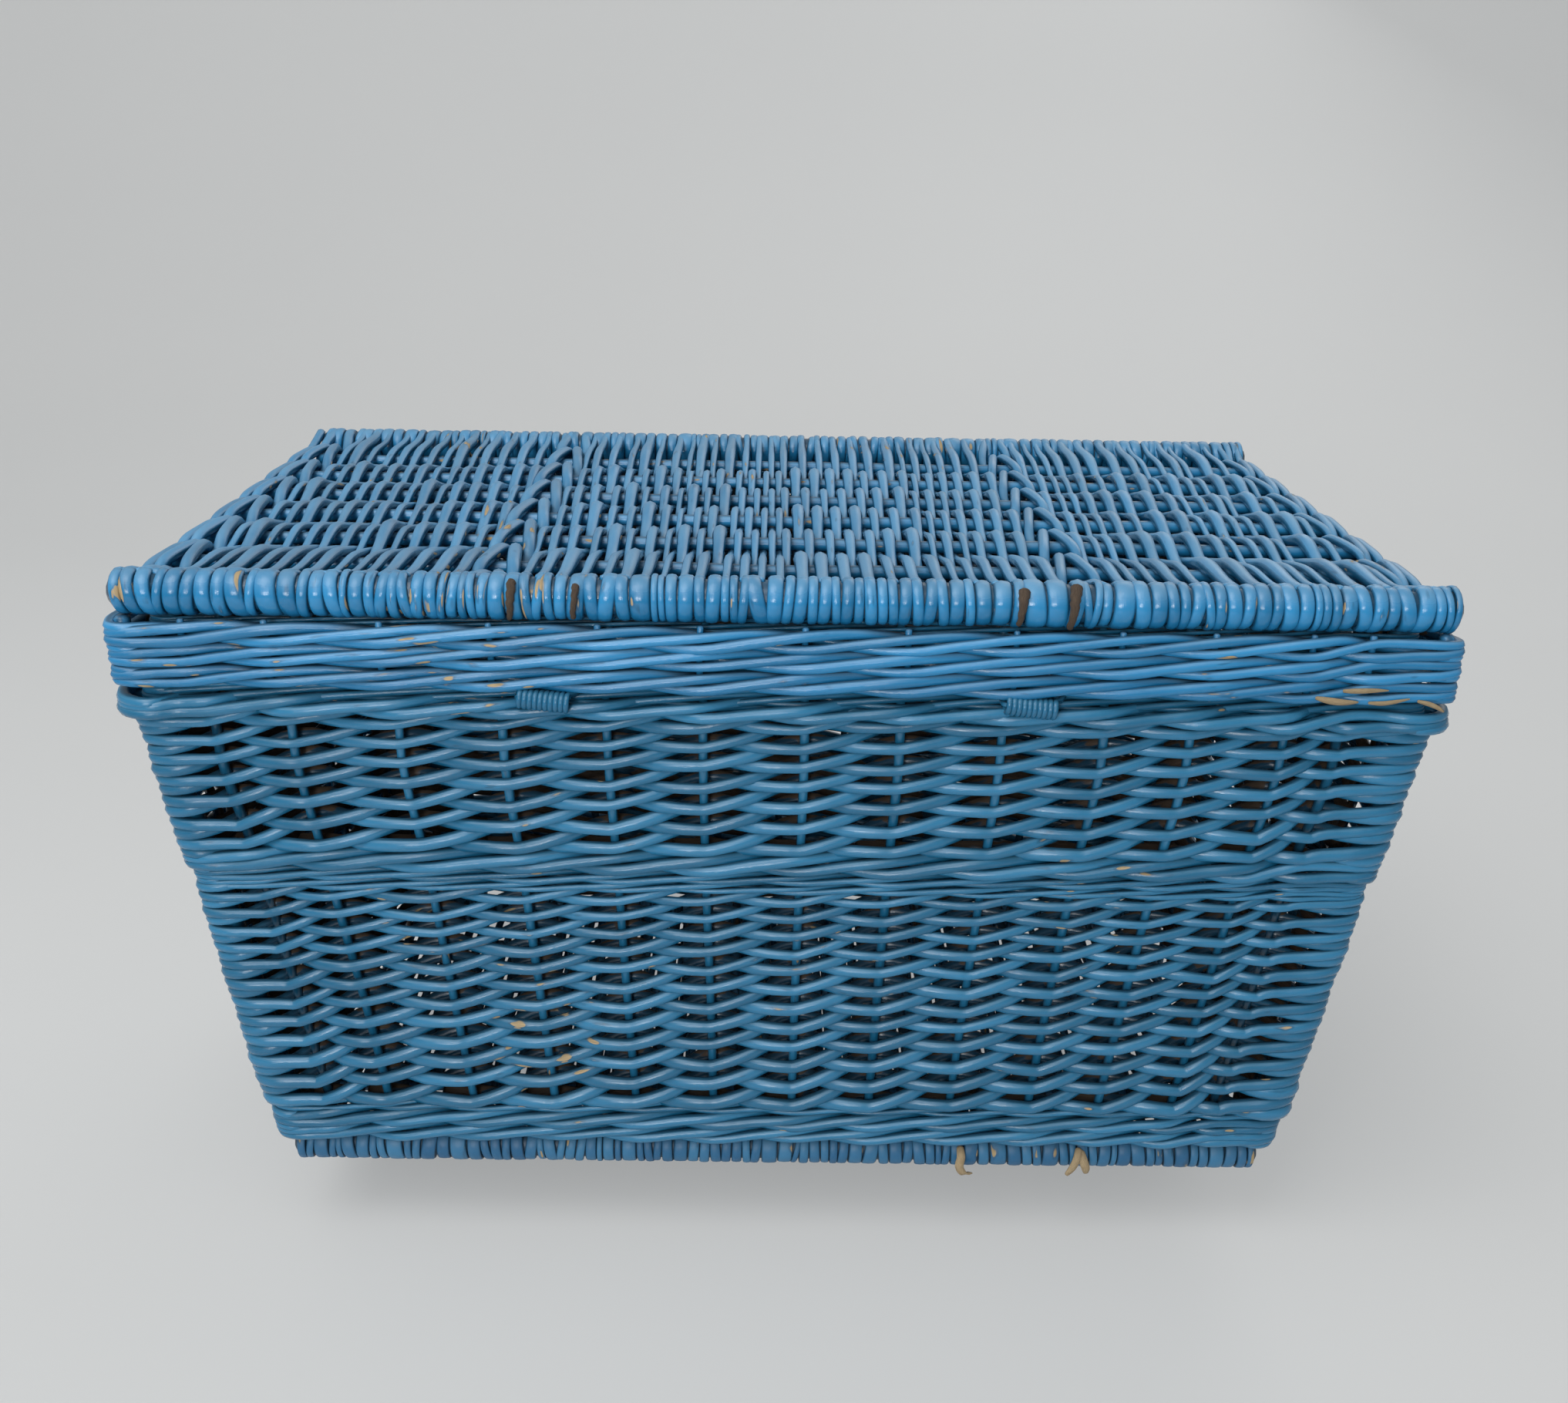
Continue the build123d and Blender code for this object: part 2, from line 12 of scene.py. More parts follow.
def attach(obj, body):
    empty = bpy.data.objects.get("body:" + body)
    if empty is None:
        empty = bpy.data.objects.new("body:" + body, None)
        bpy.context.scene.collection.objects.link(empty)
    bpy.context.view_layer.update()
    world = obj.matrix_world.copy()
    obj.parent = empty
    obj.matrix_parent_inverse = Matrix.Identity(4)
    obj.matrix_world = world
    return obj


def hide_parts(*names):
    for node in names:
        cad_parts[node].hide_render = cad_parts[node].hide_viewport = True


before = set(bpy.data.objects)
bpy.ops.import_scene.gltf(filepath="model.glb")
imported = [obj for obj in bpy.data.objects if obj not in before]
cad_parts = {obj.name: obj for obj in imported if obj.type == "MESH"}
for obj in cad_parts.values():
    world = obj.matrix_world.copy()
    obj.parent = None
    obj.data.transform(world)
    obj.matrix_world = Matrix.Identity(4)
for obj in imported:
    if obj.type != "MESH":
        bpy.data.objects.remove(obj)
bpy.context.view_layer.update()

MM = 0.001
WALLS = ("front", "back", "left", "right")
LOG = logging.getLogger("willow_trunk")

Array = np.ndarray
Colour = tuple[float, float, float]
Material = bpy.types.Material
Object = bpy.types.Object
Socket = bpy.types.NodeSocket


class Way(Enum):
    """Where a weaving rod passes a stake: on the outside of the trunk or on its inside."""

    OUTSIDE = 1.0
    INSIDE = -1.0


class Body(Enum):
    """The two rigid bodies of the trunk."""

    BASKET = "basket"
    LID = "lid"


class Slot(Enum):
    """The record's two finishes."""

    PAINTED = "painted_willow"
    BARE = "bare_willow"


@dataclass(frozen=True)
class TrunkSizes:
    """The shared sizes of the trunk in millimetres, as in the solids.

    The stakes' line is given as half sizes along X and Y: at the skirt, and at the shoulder of the
    body, from which it leans in down to the foot and up to the rim. The paint was brushed on from
    outside. Points count as deeper from depth_start outside that line to depth_fade further in; deeper
    paint is darkened as painted shade, and at the deepest it is gone.
    """

    skirt_x: float = 297.5
    skirt_y: float = 170.0
    shoulder_x: float = 291.5
    shoulder_y: float = 164.0
    shoulder_height: float = 272.0
    foot_height: float = 15.0
    taper: float = 30.0
    rim_lean: float = 4.5 / 31.0
    stake_radius: float = 2.5
    post_radius: float = 6.0
    stake_pitch: float = 46.5
    corner_inset: float = 30.0
    rail_height: float = 332.0
    rail_y: float = 164.0
    rail_half: float = 298.5
    rail_radius: float = 11.0
    hinge_y: float = 174.5
    hinge_height: float = 294.5
    depth_start: float = 3.5
    depth_fade: float = 8.0

    def line(self, height: float | Array) -> tuple[float | Array, float | Array]:
        """The stakes' line at a height, as half sizes along X and Y.

        Args:
            height: the height, or one for each point.

        Returns:
            The half size along X and the one along Y.
        """
        below = self.shoulder_height - height
        lean = self.taper / (self.shoulder_height - self.foot_height)
        step = np.where(below >= 0, lean * below, -self.rim_lean * below)
        return self.shoulder_x - step, self.shoulder_y - step


SIZES = TrunkSizes()


def smooth_path(keys: Array | Sequence, steps: int) -> Array:
    """A smooth line through points that may be unevenly spaced.

    Args:
        keys: the points, one per row. Numbers after the third, such as a radius, are carried along.
        steps: how many parts each span is divided into.

    Returns:
        The points of the line, keys included.
    """
    keys = np.array(keys, float)
    spans = np.maximum(np.linalg.norm(np.diff(keys[:, :3], axis=0), axis=1), 1e-6)
    slopes = np.diff(keys, axis=0) / spans[:, None]
    tangents = np.empty_like(keys)
    tangents[0], tangents[-1] = slopes[0], slopes[-1]
    before, after = spans[:-1, None], spans[1:, None]
    tangents[1:-1] = (slopes[:-1] * after + slopes[1:] * before) / (before + after)
    t = (np.arange(steps) / steps)[None, :, None]
    length = spans[:, None, None]
    curve = (
        (2 * t**3 - 3 * t**2 + 1) * keys[:-1, None]
        + (t**3 - 2 * t**2 + t) * length * tangents[:-1, None]
        + (3 * t**2 - 2 * t**3) * keys[1:, None]
        + (t**3 - t**2) * length * tangents[1:, None]
    )
    return np.vstack([curve.reshape(-1, keys.shape[1]), keys[-1:]])


def smooth_rod(keys: Array | Sequence, steps: int) -> tuple[Array, Array]:
    """A smooth line and its radii through keys of x, y, z and radius."""
    path = smooth_path(keys, steps)
    return path[:, :3], path[:, 3]


def between(values: Array, place: float) -> float:
    """The value at a place between two numbered values."""
    low = int(place)
    return values[low] * (1 - place + low) + values[low + 1] * (place - low)


def within(at: float, steps: int) -> float:
    """A count of stakes, kept between a rod's first and its last."""
    return min(max(at, 0.0), float(steps))


def link_object(name: str, data: bpy.types.ID) -> Object:
    """Makes an object and puts it into the scene.

    Args:
        name: its name.
        data: its mesh, camera or lamp.

    Returns:
        The object.
    """
    made = bpy.data.objects.new(name, data)
    bpy.context.scene.collection.objects.link(made)
    return made


def wall_depth(points: Array, half_x: float | Array, half_y: float | Array) -> Array:
    """How far points lie inside the painted side of walls, from 0 to 1.

    Args:
        points: the points.
        half_x: half size of the stakes' line along X.
        half_y: the same along Y.

    Returns:
        A depth for each point.
    """
    out = np.maximum(np.abs(points[:, 0]) - half_x, np.abs(points[:, 1]) - half_y)
    # Depth drives the painted shade between the rods and, deepest, the unpainted willow.
    return np.clip((SIZES.depth_start - out) / SIZES.depth_fade, 0, 1)


def body_depth(points: Array) -> Array:
    """How far points of the body lie inside its outer surface, from 0 to 1."""
    return wall_depth(points, *SIZES.line(points[:, 2]))


def skirt_depth(points: Array) -> Array:
    """How far points of the skirt lie inside its outer surface, from 0 to 1."""
    return wall_depth(points, SIZES.skirt_x, SIZES.skirt_y)


def lid_depth(points: Array, above_rail: float = 1.5) -> Array:
    """How far points of the lid lie below its top, from 0 to 1."""
    top = np.clip((SIZES.rail_height + above_rail - points[:, 2]) / SIZES.depth_fade, 0, 1)
    return np.where(np.abs(points[:, 1]) > SIZES.rail_y, 0.0, top)


def base_depth(points: Array, start: float = 14.0, fade: float = 5.0) -> Array:
    """How far points of the base lie above its underside, from 0 to 1."""
    return np.clip((points[:, 2] - start) / fade, 0, 1)


class RodBundle:
    """Gathers willow rods into one mesh and hands it over as a dressed piece.

    Attributes:
        long_wave, short_wave: the two lengths in which a rod's radius wavers, in millimetres.
        end_inset, end_size, tip: how a rod's ends are rounded, as shares of its radius.
        map_length: length of rod on one unit of its map.
    """

    long_wave: float = 17.0
    short_wave: float = 6.1
    end_inset: float = 0.35
    end_size: float = 0.6
    tip: float = 1.3
    map_length: float = 100.0

    def __init__(self, name: str, sides: int = 8, seed: int = 1) -> None:
        """Starts an empty bundle.

        Args:
            name: the piece's name.
            sides: how many faces go round a rod.
            seed: seed of the rods' own tones.
        """
        self.name = name
        self.sides = sides
        self.random = np.random.default_rng(seed)
        self.rods: list[dict[str, Array]] = []
        self.count = 0

    def add(self, path: Array, radius: float | Array, reference: Sequence[float] = (0, 0, 1),
            broad: float = 1.0, square: float = 1.0, wear: float | Array = 0.0,
            knots: float = 0.03) -> None:
        """Adds one rod along a path.

        Args:
            path: points of the rod's middle line in millimetres.
            radius: its radius, or one for each point.
            reference: a direction the path never runs along, which sets the rod's frame.
            broad: how much wider than thick the rod is, across the reference.
            square: 1 for a round section, less for a flattened one.
            wear: 0 where the paint is whole, 1 where bare wood shows, or one for each point.
            knots: how uneven the radius is.
        """
        count, sides = len(path), self.sides
        tangent = np.gradient(path, axis=0)
        tangent /= np.linalg.norm(tangent, axis=1)[:, None] + 1e-12
        side = np.cross(tangent, np.asarray(reference, float))
        side /= np.linalg.norm(side, axis=1)[:, None] + 1e-12
        normal = np.cross(side, tangent)
        steps = np.linalg.norm(np.diff(path, axis=0), axis=1)
        along = np.concatenate([[0], np.cumsum(steps)])
        phase = self.random.uniform(0, 50, 3)
        wobble = np.sin(along / self.long_wave + phase[0])
        wobble += 0.6 * np.sin(along / self.short_wave + phase[1])
        radii = np.broadcast_to(radius, (count,)) * (1 + knots * wobble)

        angle = np.linspace(0, 2 * math.pi, sides, endpoint=False)
        across, above = (np.sign(v) * np.abs(v) ** square for v in (np.cos(angle), np.sin(angle)))
        ring = across[None, :, None] * side[:, None] * broad + above[None, :, None] * normal[:, None]
        ring *= radii[:, None, None]
        ends = tangent[[0, -1]] * radii[[0, -1], None] * self.end_inset * [[-1], [1]]
        caps = path[[0, -1], None] + ring[[0, -1]] * self.end_size + ends[:, None]
        rounds = (path[:, None] + ring).reshape(-1, 3)
        points = np.vstack([caps[0], rounds, caps[1], path[[0, -1]] + ends * self.tip])

        index = np.arange((count + 2) * sides).reshape(-1, sides)
        after = np.roll(index, -1, axis=1)
        quads = np.stack([index[:-1], after[:-1], after[1:], index[1:]], -1).reshape(-1, 4)
        fans = [np.stack([rim, np.roll(rim, -1), np.full(sides, tip)], -1)
                for rim, tip in ((index[0][::-1], index.size), (index[-1], index.size + 1))]

        reach = np.pad(along, 1, constant_values=(along[0] - 1, along[-1] + 1))
        reach = reach / self.map_length + phase[2]
        share = np.arange(sides + 1) / sides
        u = np.stack([reach[:-1], reach[:-1], reach[1:], reach[1:]], -1)[:, None]
        v = np.stack([share[:-1], share[1:], share[1:], share[:-1]], -1)[None]
        wears = np.broadcast_to(np.asarray(wear, float), (count,))
        self.rods.append({
            "points": points,
            "quads": quads + self.count,
            "fans": np.vstack(fans) + self.count,
            "uv": np.stack(np.broadcast_arrays(u, v), -1).reshape(-1, 2),
            "fan_uv": np.full((sides * 6, 2), phase[2]),
            "tone": np.full(len(points), self.random.uniform(0, 1)),
            "wear": np.append(np.repeat(np.pad(wears, 1, mode="edge"), sides), wears[[0, -1]]),
        })
        self.count += len(points)

    def piece(self, body: Body, material: Material, nodes: Sequence[str] = (),
              slot: Slot = Slot.PAINTED, deep: Callable[[Array], Array] | None = None,
              lowest: float | None = None) -> Object:
        """Makes the mesh and dresses it.

        Args:
            body: the body the piece rides on.
            material: its finish.
            nodes: the solids it stands for.
            slot: not used.
            deep: tells how deep points lie, from 0 to 1. Deep places are darkened as painted shade,
                and the
            deepest were never painted.
            lowest: a height at which the piece is worn flat.

        Returns:
            The finished object.
        """
        rods = {key: np.concatenate([rod[key] for rod in self.rods]) for key in self.rods[0]}
        points, quads, fans = rods["points"], rods["quads"], rods["fans"]
        if lowest is not None:
            points[:, 2] = np.maximum(points[:, 2], lowest)
        rods["deep"] = deep(points) if deep is not None else np.zeros(len(points))
        mesh = bpy.data.meshes.new(self.name)
        mesh.vertices.add(len(points))
        mesh.vertices.foreach_set("co", (points * MM).astype(np.float32).ravel())
        loops = np.concatenate([quads.ravel(), fans.ravel()]).astype(np.int32)
        mesh.loops.add(len(loops))
        mesh.loops.foreach_set("vertex_index", loops)
        starts = np.append(np.arange(len(quads)) * 4, quads.size + np.arange(len(fans)) * 3)
        mesh.polygons.add(len(starts))
        mesh.polygons.foreach_set("loop_start", starts.astype(np.int32))
        mesh.update(calc_edges=True)
        mesh.polygons.foreach_set("use_smooth", np.ones(len(starts), bool))
        uv = np.vstack([rods["uv"], rods["fan_uv"]]).astype(np.float32)
        mesh.uv_layers.new(name="rod").data.foreach_set("uv", uv.ravel())
        for label in ("tone", "wear", "deep"):
            attribute = mesh.attributes.new(label, "FLOAT", "POINT")
            attribute.data.foreach_set("value", rods[label].astype(np.float32))
        mesh.validate()
        mesh.materials.append(material)
        obj = link_object(self.name, mesh)
        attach(obj, body.value)
        if nodes:
            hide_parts(*nodes)
        return obj


class Finish:
    """A material in the making, with helpers for its nodes."""

    def __init__(self, name: str) -> None:
        """Makes an empty material with its shader.

        Args:
            name: name of the material.
        """
        self.material = bpy.data.materials.new(name)
        self.material.use_nodes = True
        self.tree = self.material.node_tree
        self.tree.nodes.clear()
        self.shader = self.node("ShaderNodeBsdfPrincipled")
        self.out = self.node("ShaderNodeOutputMaterial")
        self.feed(self.shader.outputs[0], self.out.inputs[0])

    def node(self, kind: str, **inputs: float | tuple) -> bpy.types.Node:
        """Adds a node and sets its inputs by name, with spaces as underscores.

        Args:
            kind: the node's type.
            inputs: its inputs by name.

        Returns:
            The node.
        """
        made = self.tree.nodes.new(kind)
        for key, value in inputs.items():
            made.inputs[key.replace("_", " ")].default_value = value
        return made

    def feed(self, value: Socket | Colour | float, socket: Socket) -> None:
        """Gives a socket another socket's value, a colour or a number.

        Args:
            value: the other socket, the colour or the number.
            socket: the socket it goes into.
        """
        if isinstance(value, bpy.types.NodeSocket):
            self.tree.links.new(value, socket)
        else:
            socket.default_value = (*value, 1.0) if isinstance(value, tuple) else value

    def part(self, vector: Socket, axis: str) -> Socket:
        """One axis of a vector.

        Args:
            vector: the vector.
            axis: X, Y or Z.

        Returns:
            The value along that axis.
        """
        made = self.node("ShaderNodeSeparateXYZ")
        self.feed(vector, made.inputs[0])
        return made.outputs[axis]

    def rod_map(self, *scale: float) -> Socket:
        """The rods' own map, X along a rod and Y round it, stretched if a scale is given.

        Args:
            scale: how often a pattern repeats along and round a rod.

        Returns:
            The vector of the map.
        """
        made = self.node("ShaderNodeUVMap")
        made.uv_map = "rod"
        if not scale:
            return made.outputs[0]
        stretch = self.node("ShaderNodeMapping", Scale=(*scale, 1.0))
        self.feed(made.outputs[0], stretch.inputs["Vector"])
        return stretch.outputs[0]

    def noise(self, vector: Socket, scale: float, detail: float = 3.0,
              rough: float = 0.55) -> Socket:
        """A noise of a given scale over a vector, from 0 to 1.

        Args:
            vector: where it is looked up.
            scale: how fine it is.
            detail: how many finer noises it adds.
            rough: how strong those are.

        Returns:
            The noise.
        """
        made = self.node("ShaderNodeTexNoise", Scale=scale, Detail=detail, Roughness=rough)
        self.feed(vector, made.inputs["Vector"])
        return made.outputs["Fac"]

    def ramp(self, value: Socket, low: float, high: float, start: float = 0.0,
             end: float = 1.0) -> Socket:
        """Spreads the range low to high of a value over start to end, clamped and eased.

        Args:
            value: the value.
            low: where its range starts.
            high: where its range ends.
            start: the result at low and below.
            end: the result at high and above.

        Returns:
            The result.
        """
        made = self.node("ShaderNodeMapRange", From_Min=low, From_Max=high, To_Min=start, To_Max=end)
        made.interpolation_type = "SMOOTHSTEP"
        self.feed(value, made.inputs["Value"])
        return made.outputs["Result"]

    def math(self, operation: str, first: Socket, second: Socket | float = 0.0) -> Socket:
        """Arithmetic on a socket and another socket or number. A sum is clamped.

        Args:
            operation: the kind of arithmetic.
            first: the first value.
            second: the second value.

        Returns:
            The result.
        """
        made = self.node("ShaderNodeMath")
        made.operation = operation
        made.use_clamp = operation == "ADD"
        self.feed(first, made.inputs[0])
        self.feed(second, made.inputs[1])
        return made.outputs[0]

    def times(self, first: Socket, second: Socket | float) -> Socket:
        """The product of two values."""
        return self.math("MULTIPLY", first, second)

    def sum(self, first: Socket, second: Socket | float) -> Socket:
        """The sum of two values, at most 1."""
        return self.math("ADD", first, second)

    def mix(self, share: Socket, first: Socket | Colour, second: Socket | Colour) -> Socket:
        """Mixes two colours by a share.

        Args:
            share: how much of the second colour there is.
            first: the first colour.
            second: the second colour.

        Returns:
            The mixed colour.
        """
        made = self.node("ShaderNodeMix")
        made.data_type = "RGBA"
        for value, socket in ((share, 0), (first, 6), (second, 7)):
            self.feed(value, made.inputs[socket])
        return made.outputs[2]

    def attribute(self, name: str) -> Socket:
        """A value kept on the mesh's points.

        Args:
            name: name of the value.

        Returns:
            The value.
        """
        made = self.node("ShaderNodeAttribute")
        made.attribute_name = name
        return made.outputs["Fac"]

    def surface(self, colour: Socket | Colour, rough: Socket | float) -> None:
        """Gives the shader its colour and roughness."""
        self.feed(colour, self.shader.inputs["Base Color"])
        self.feed(rough, self.shader.inputs["Roughness"])

    def bump(self, height: Socket, strength: float, distance: float) -> None:
        """Gives the shader a fine relief that follows a height.

        Args:
            height: the height, from 0 to 1.
            strength: how strong the relief is.
            distance: how high it is, in metres.
        """
        made = self.node("ShaderNodeBump", Strength=strength, Distance=distance)
        self.feed(height, made.inputs["Height"])
        self.feed(made.outputs[0], self.shader.inputs["Normal"])


@dataclass(frozen=True)
class BluePaint:
    """Old blue gloss paint on willow, brushed on from outside only.

    It is dusty where it faces up and worn through to tan wood in places. Between the rods and in their
    seams its blue is darkened, painted shade mixed with dirt. Deep places were never reached by the
    brush and show the brown willow, kept very dark as painted shade of the trunk's inside.

    Attributes:
        name: name of the material.
        deep_blue, light_blue: the two ends of the paint's own blue.
        dust, wood, brown, grime_and_shade: colours of dust, worn wood, unpainted willow made dark as
        painted shade, and of dirt and painted shade.
        wood_grain, brown_grain: how light the grain of the two woods is against the rest of them.
        gloss, dust_rough, wood_rough: roughness of clean paint, and what dust and bare wood add.
        dust_share: how much dust lies on what faces straight up.
        wear_level: how far the wear has to go before wood shows.
        seam_start, seam_shade: where the painted shade in a rod's seams, along the rods above and
        below it, starts, and how dark it is.
        deep_shade_and_dirt: how dark the painted shade and dirt between the rods are.
        tones, clouds: how much the blue changes from rod to rod, and over the trunk.
        strip_wear, cloud_wear, spot_wear: what strips along a rod, wide clouds and the worn spots
            of a piece add to the wear.
        grain_map, strip_map: how often the grain and the strips repeat along and round a rod.
        patch_scale, cloud_scale, fine_scale: how small the patches, clouds and fine relief are.
    """

    name: str = "blue_paint"
    deep_blue: Colour = (0.009, 0.140, 0.302)
    light_blue: Colour = (0.026, 0.232, 0.475)
    dust: Colour = (0.165, 0.310, 0.430)
    wood: Colour = (0.430, 0.320, 0.175)
    # Unpainted willow, kept very dark as painted shade of the trunk's inside.
    brown: Colour = (0.036, 0.023, 0.014)
    # The dark blue of dirt and of painted shade between the rods.
    grime_and_shade: Colour = (0.007, 0.026, 0.048)
    wood_grain: float = 0.5
    brown_grain: float = 1.9
    gloss: float = 0.15
    dust_rough: float = 0.60
    wood_rough: float = 0.45
    dust_share: float = 0.60
    wear_level: float = 0.765
    seam_start: float = 0.80
    seam_shade: float = 0.62
    deep_shade_and_dirt: float = 0.88
    tones: float = 0.45
    clouds: float = 0.75
    strip_wear: float = 0.72
    cloud_wear: float = 0.42
    spot_wear: float = 0.40
    grain_map: tuple[float, float] = (14.0, 60.0)
    strip_map: tuple[float, float] = (4.0, 2.5)
    patch_scale: float = 24.0
    cloud_scale: float = 11.0
    fine_scale: float = 420.0

    def make(self) -> Material:
        """Builds the node tree.

        Returns:
            The finished material.
        """
        f = Finish(self.name)
        place = f.node("ShaderNodeTexCoord").outputs["Object"]
        grain = f.noise(f.rod_map(*self.grain_map), 1.0, 4.0, 0.6)
        strips = f.noise(f.rod_map(*self.strip_map), 2.0, 0.6, 0.5)
        patches = f.noise(place, self.patch_scale, 4.0)
        deep = f.attribute("deep")
        # Painted shade along the top and bottom of each rod, where its neighbours lie.
        turn = f.math("SINE", f.times(f.part(f.rod_map(), "Y"), 2 * math.pi))
        seam = f.ramp(f.math("ABSOLUTE", turn), self.seam_start, 1.0)

        shade = f.sum(f.times(f.attribute("tone"), self.tones), f.times(patches, self.clouds))
        colour = f.mix(f.ramp(shade, 0.30, 0.95), self.deep_blue, self.light_blue)

        normal = f.node("ShaderNodeNewGeometry").outputs["Normal"]
        facing = f.ramp(f.part(normal, "Z"), 0.10, 0.95)
        dusty = f.times(facing, f.ramp(patches, 0.25, 0.75, 0.45, 1.0))
        dusty = f.times(dusty, self.dust_share)
        colour = f.mix(dusty, colour, self.dust)

        # Painted shade mixed with dirt: the deeper a point lies in the weave, the darker its blue.
        cloudy = f.times(f.math("SUBTRACT", patches, 0.5), 0.3)
        shade_and_dirt = f.times(f.ramp(f.sum(deep, cloudy), 0.12, 0.75), self.deep_shade_and_dirt)
        shade_and_dirt = f.math("MAXIMUM", shade_and_dirt, f.times(seam, self.seam_shade))
        colour = f.mix(shade_and_dirt, colour, self.grime_and_shade)

        wide = f.times(f.noise(place, self.cloud_scale, 2.0), self.cloud_wear)
        rubbed = f.sum(f.times(strips, self.strip_wear), wide)
        rubbed = f.sum(rubbed, f.times(f.attribute("wear"), self.spot_wear))
        worn = f.ramp(rubbed, self.wear_level, self.wear_level + 0.03)
        edge = f.ramp(rubbed, self.wear_level - 0.06, self.wear_level)
        wood = f.mix(f.ramp(grain, 0.35, 0.7), self.wood,
                     tuple(c * self.wood_grain for c in self.wood))
        colour = f.mix(f.times(edge, 0.35), colour, self.grime_and_shade)
        colour = f.mix(worn, colour, wood)

        # Deep places show unpainted willow, kept very dark as painted shade of the trunk's inside.
        patchy = f.times(f.math("SUBTRACT", strips, 0.5), 0.5)
        missed = f.ramp(f.sum(deep, patchy), 0.80, 0.88)
        brown = f.mix(f.ramp(grain, 0.3, 0.7), self.brown,
                      tuple(c * self.brown_grain for c in self.brown))
        colour = f.mix(missed, colour, brown)

        rough = f.sum(f.times(dusty, self.dust_rough), self.gloss)
        rough = f.sum(rough, f.times(f.math("MAXIMUM", worn, missed), self.wood_rough))
        f.surface(colour, rough)
        relief = f.sum(f.times(grain, 0.6), f.times(f.noise(place, self.fine_scale), 0.25))
        f.bump(f.math("SUBTRACT", relief, f.times(worn, 0.3)), 0.30, 0.0005)
        return f.material


@dataclass(frozen=True)
class BareWillow:
    """Unpainted weathered willow, dark and dry.

    Attributes:
        name: name of the material.
        dark, light: the two ends of its brown.
    """

    name: str = "bare_willow"
    dark: Colour = (0.030, 0.018, 0.012)
    light: Colour = (0.125, 0.085, 0.052)

    def make(self) -> Material:
        """Builds the node tree.

        Returns:
            The finished material.
        """
        f = Finish(self.name)
        grain = f.noise(f.rod_map(4.0, 10.0), 8.0, 5.0, 0.7)
        f.surface(f.mix(f.ramp(grain, 0.3, 0.75), self.dark, self.light), 0.75)
        f.bump(grain, 0.8, 0.0008)
        return f.material


@dataclass(frozen=True)
class Wall:
    """One wall of a ring of stakes.

    Attributes:
        out: its outward direction.
        along: the direction in which its stakes are numbered.
        shares: places of the stakes as shares of its half length.
        is_end: whether it is the left or the right end.
    """

    out: Array
    along: Array
    shares: Sequence[float]
    is_end: bool


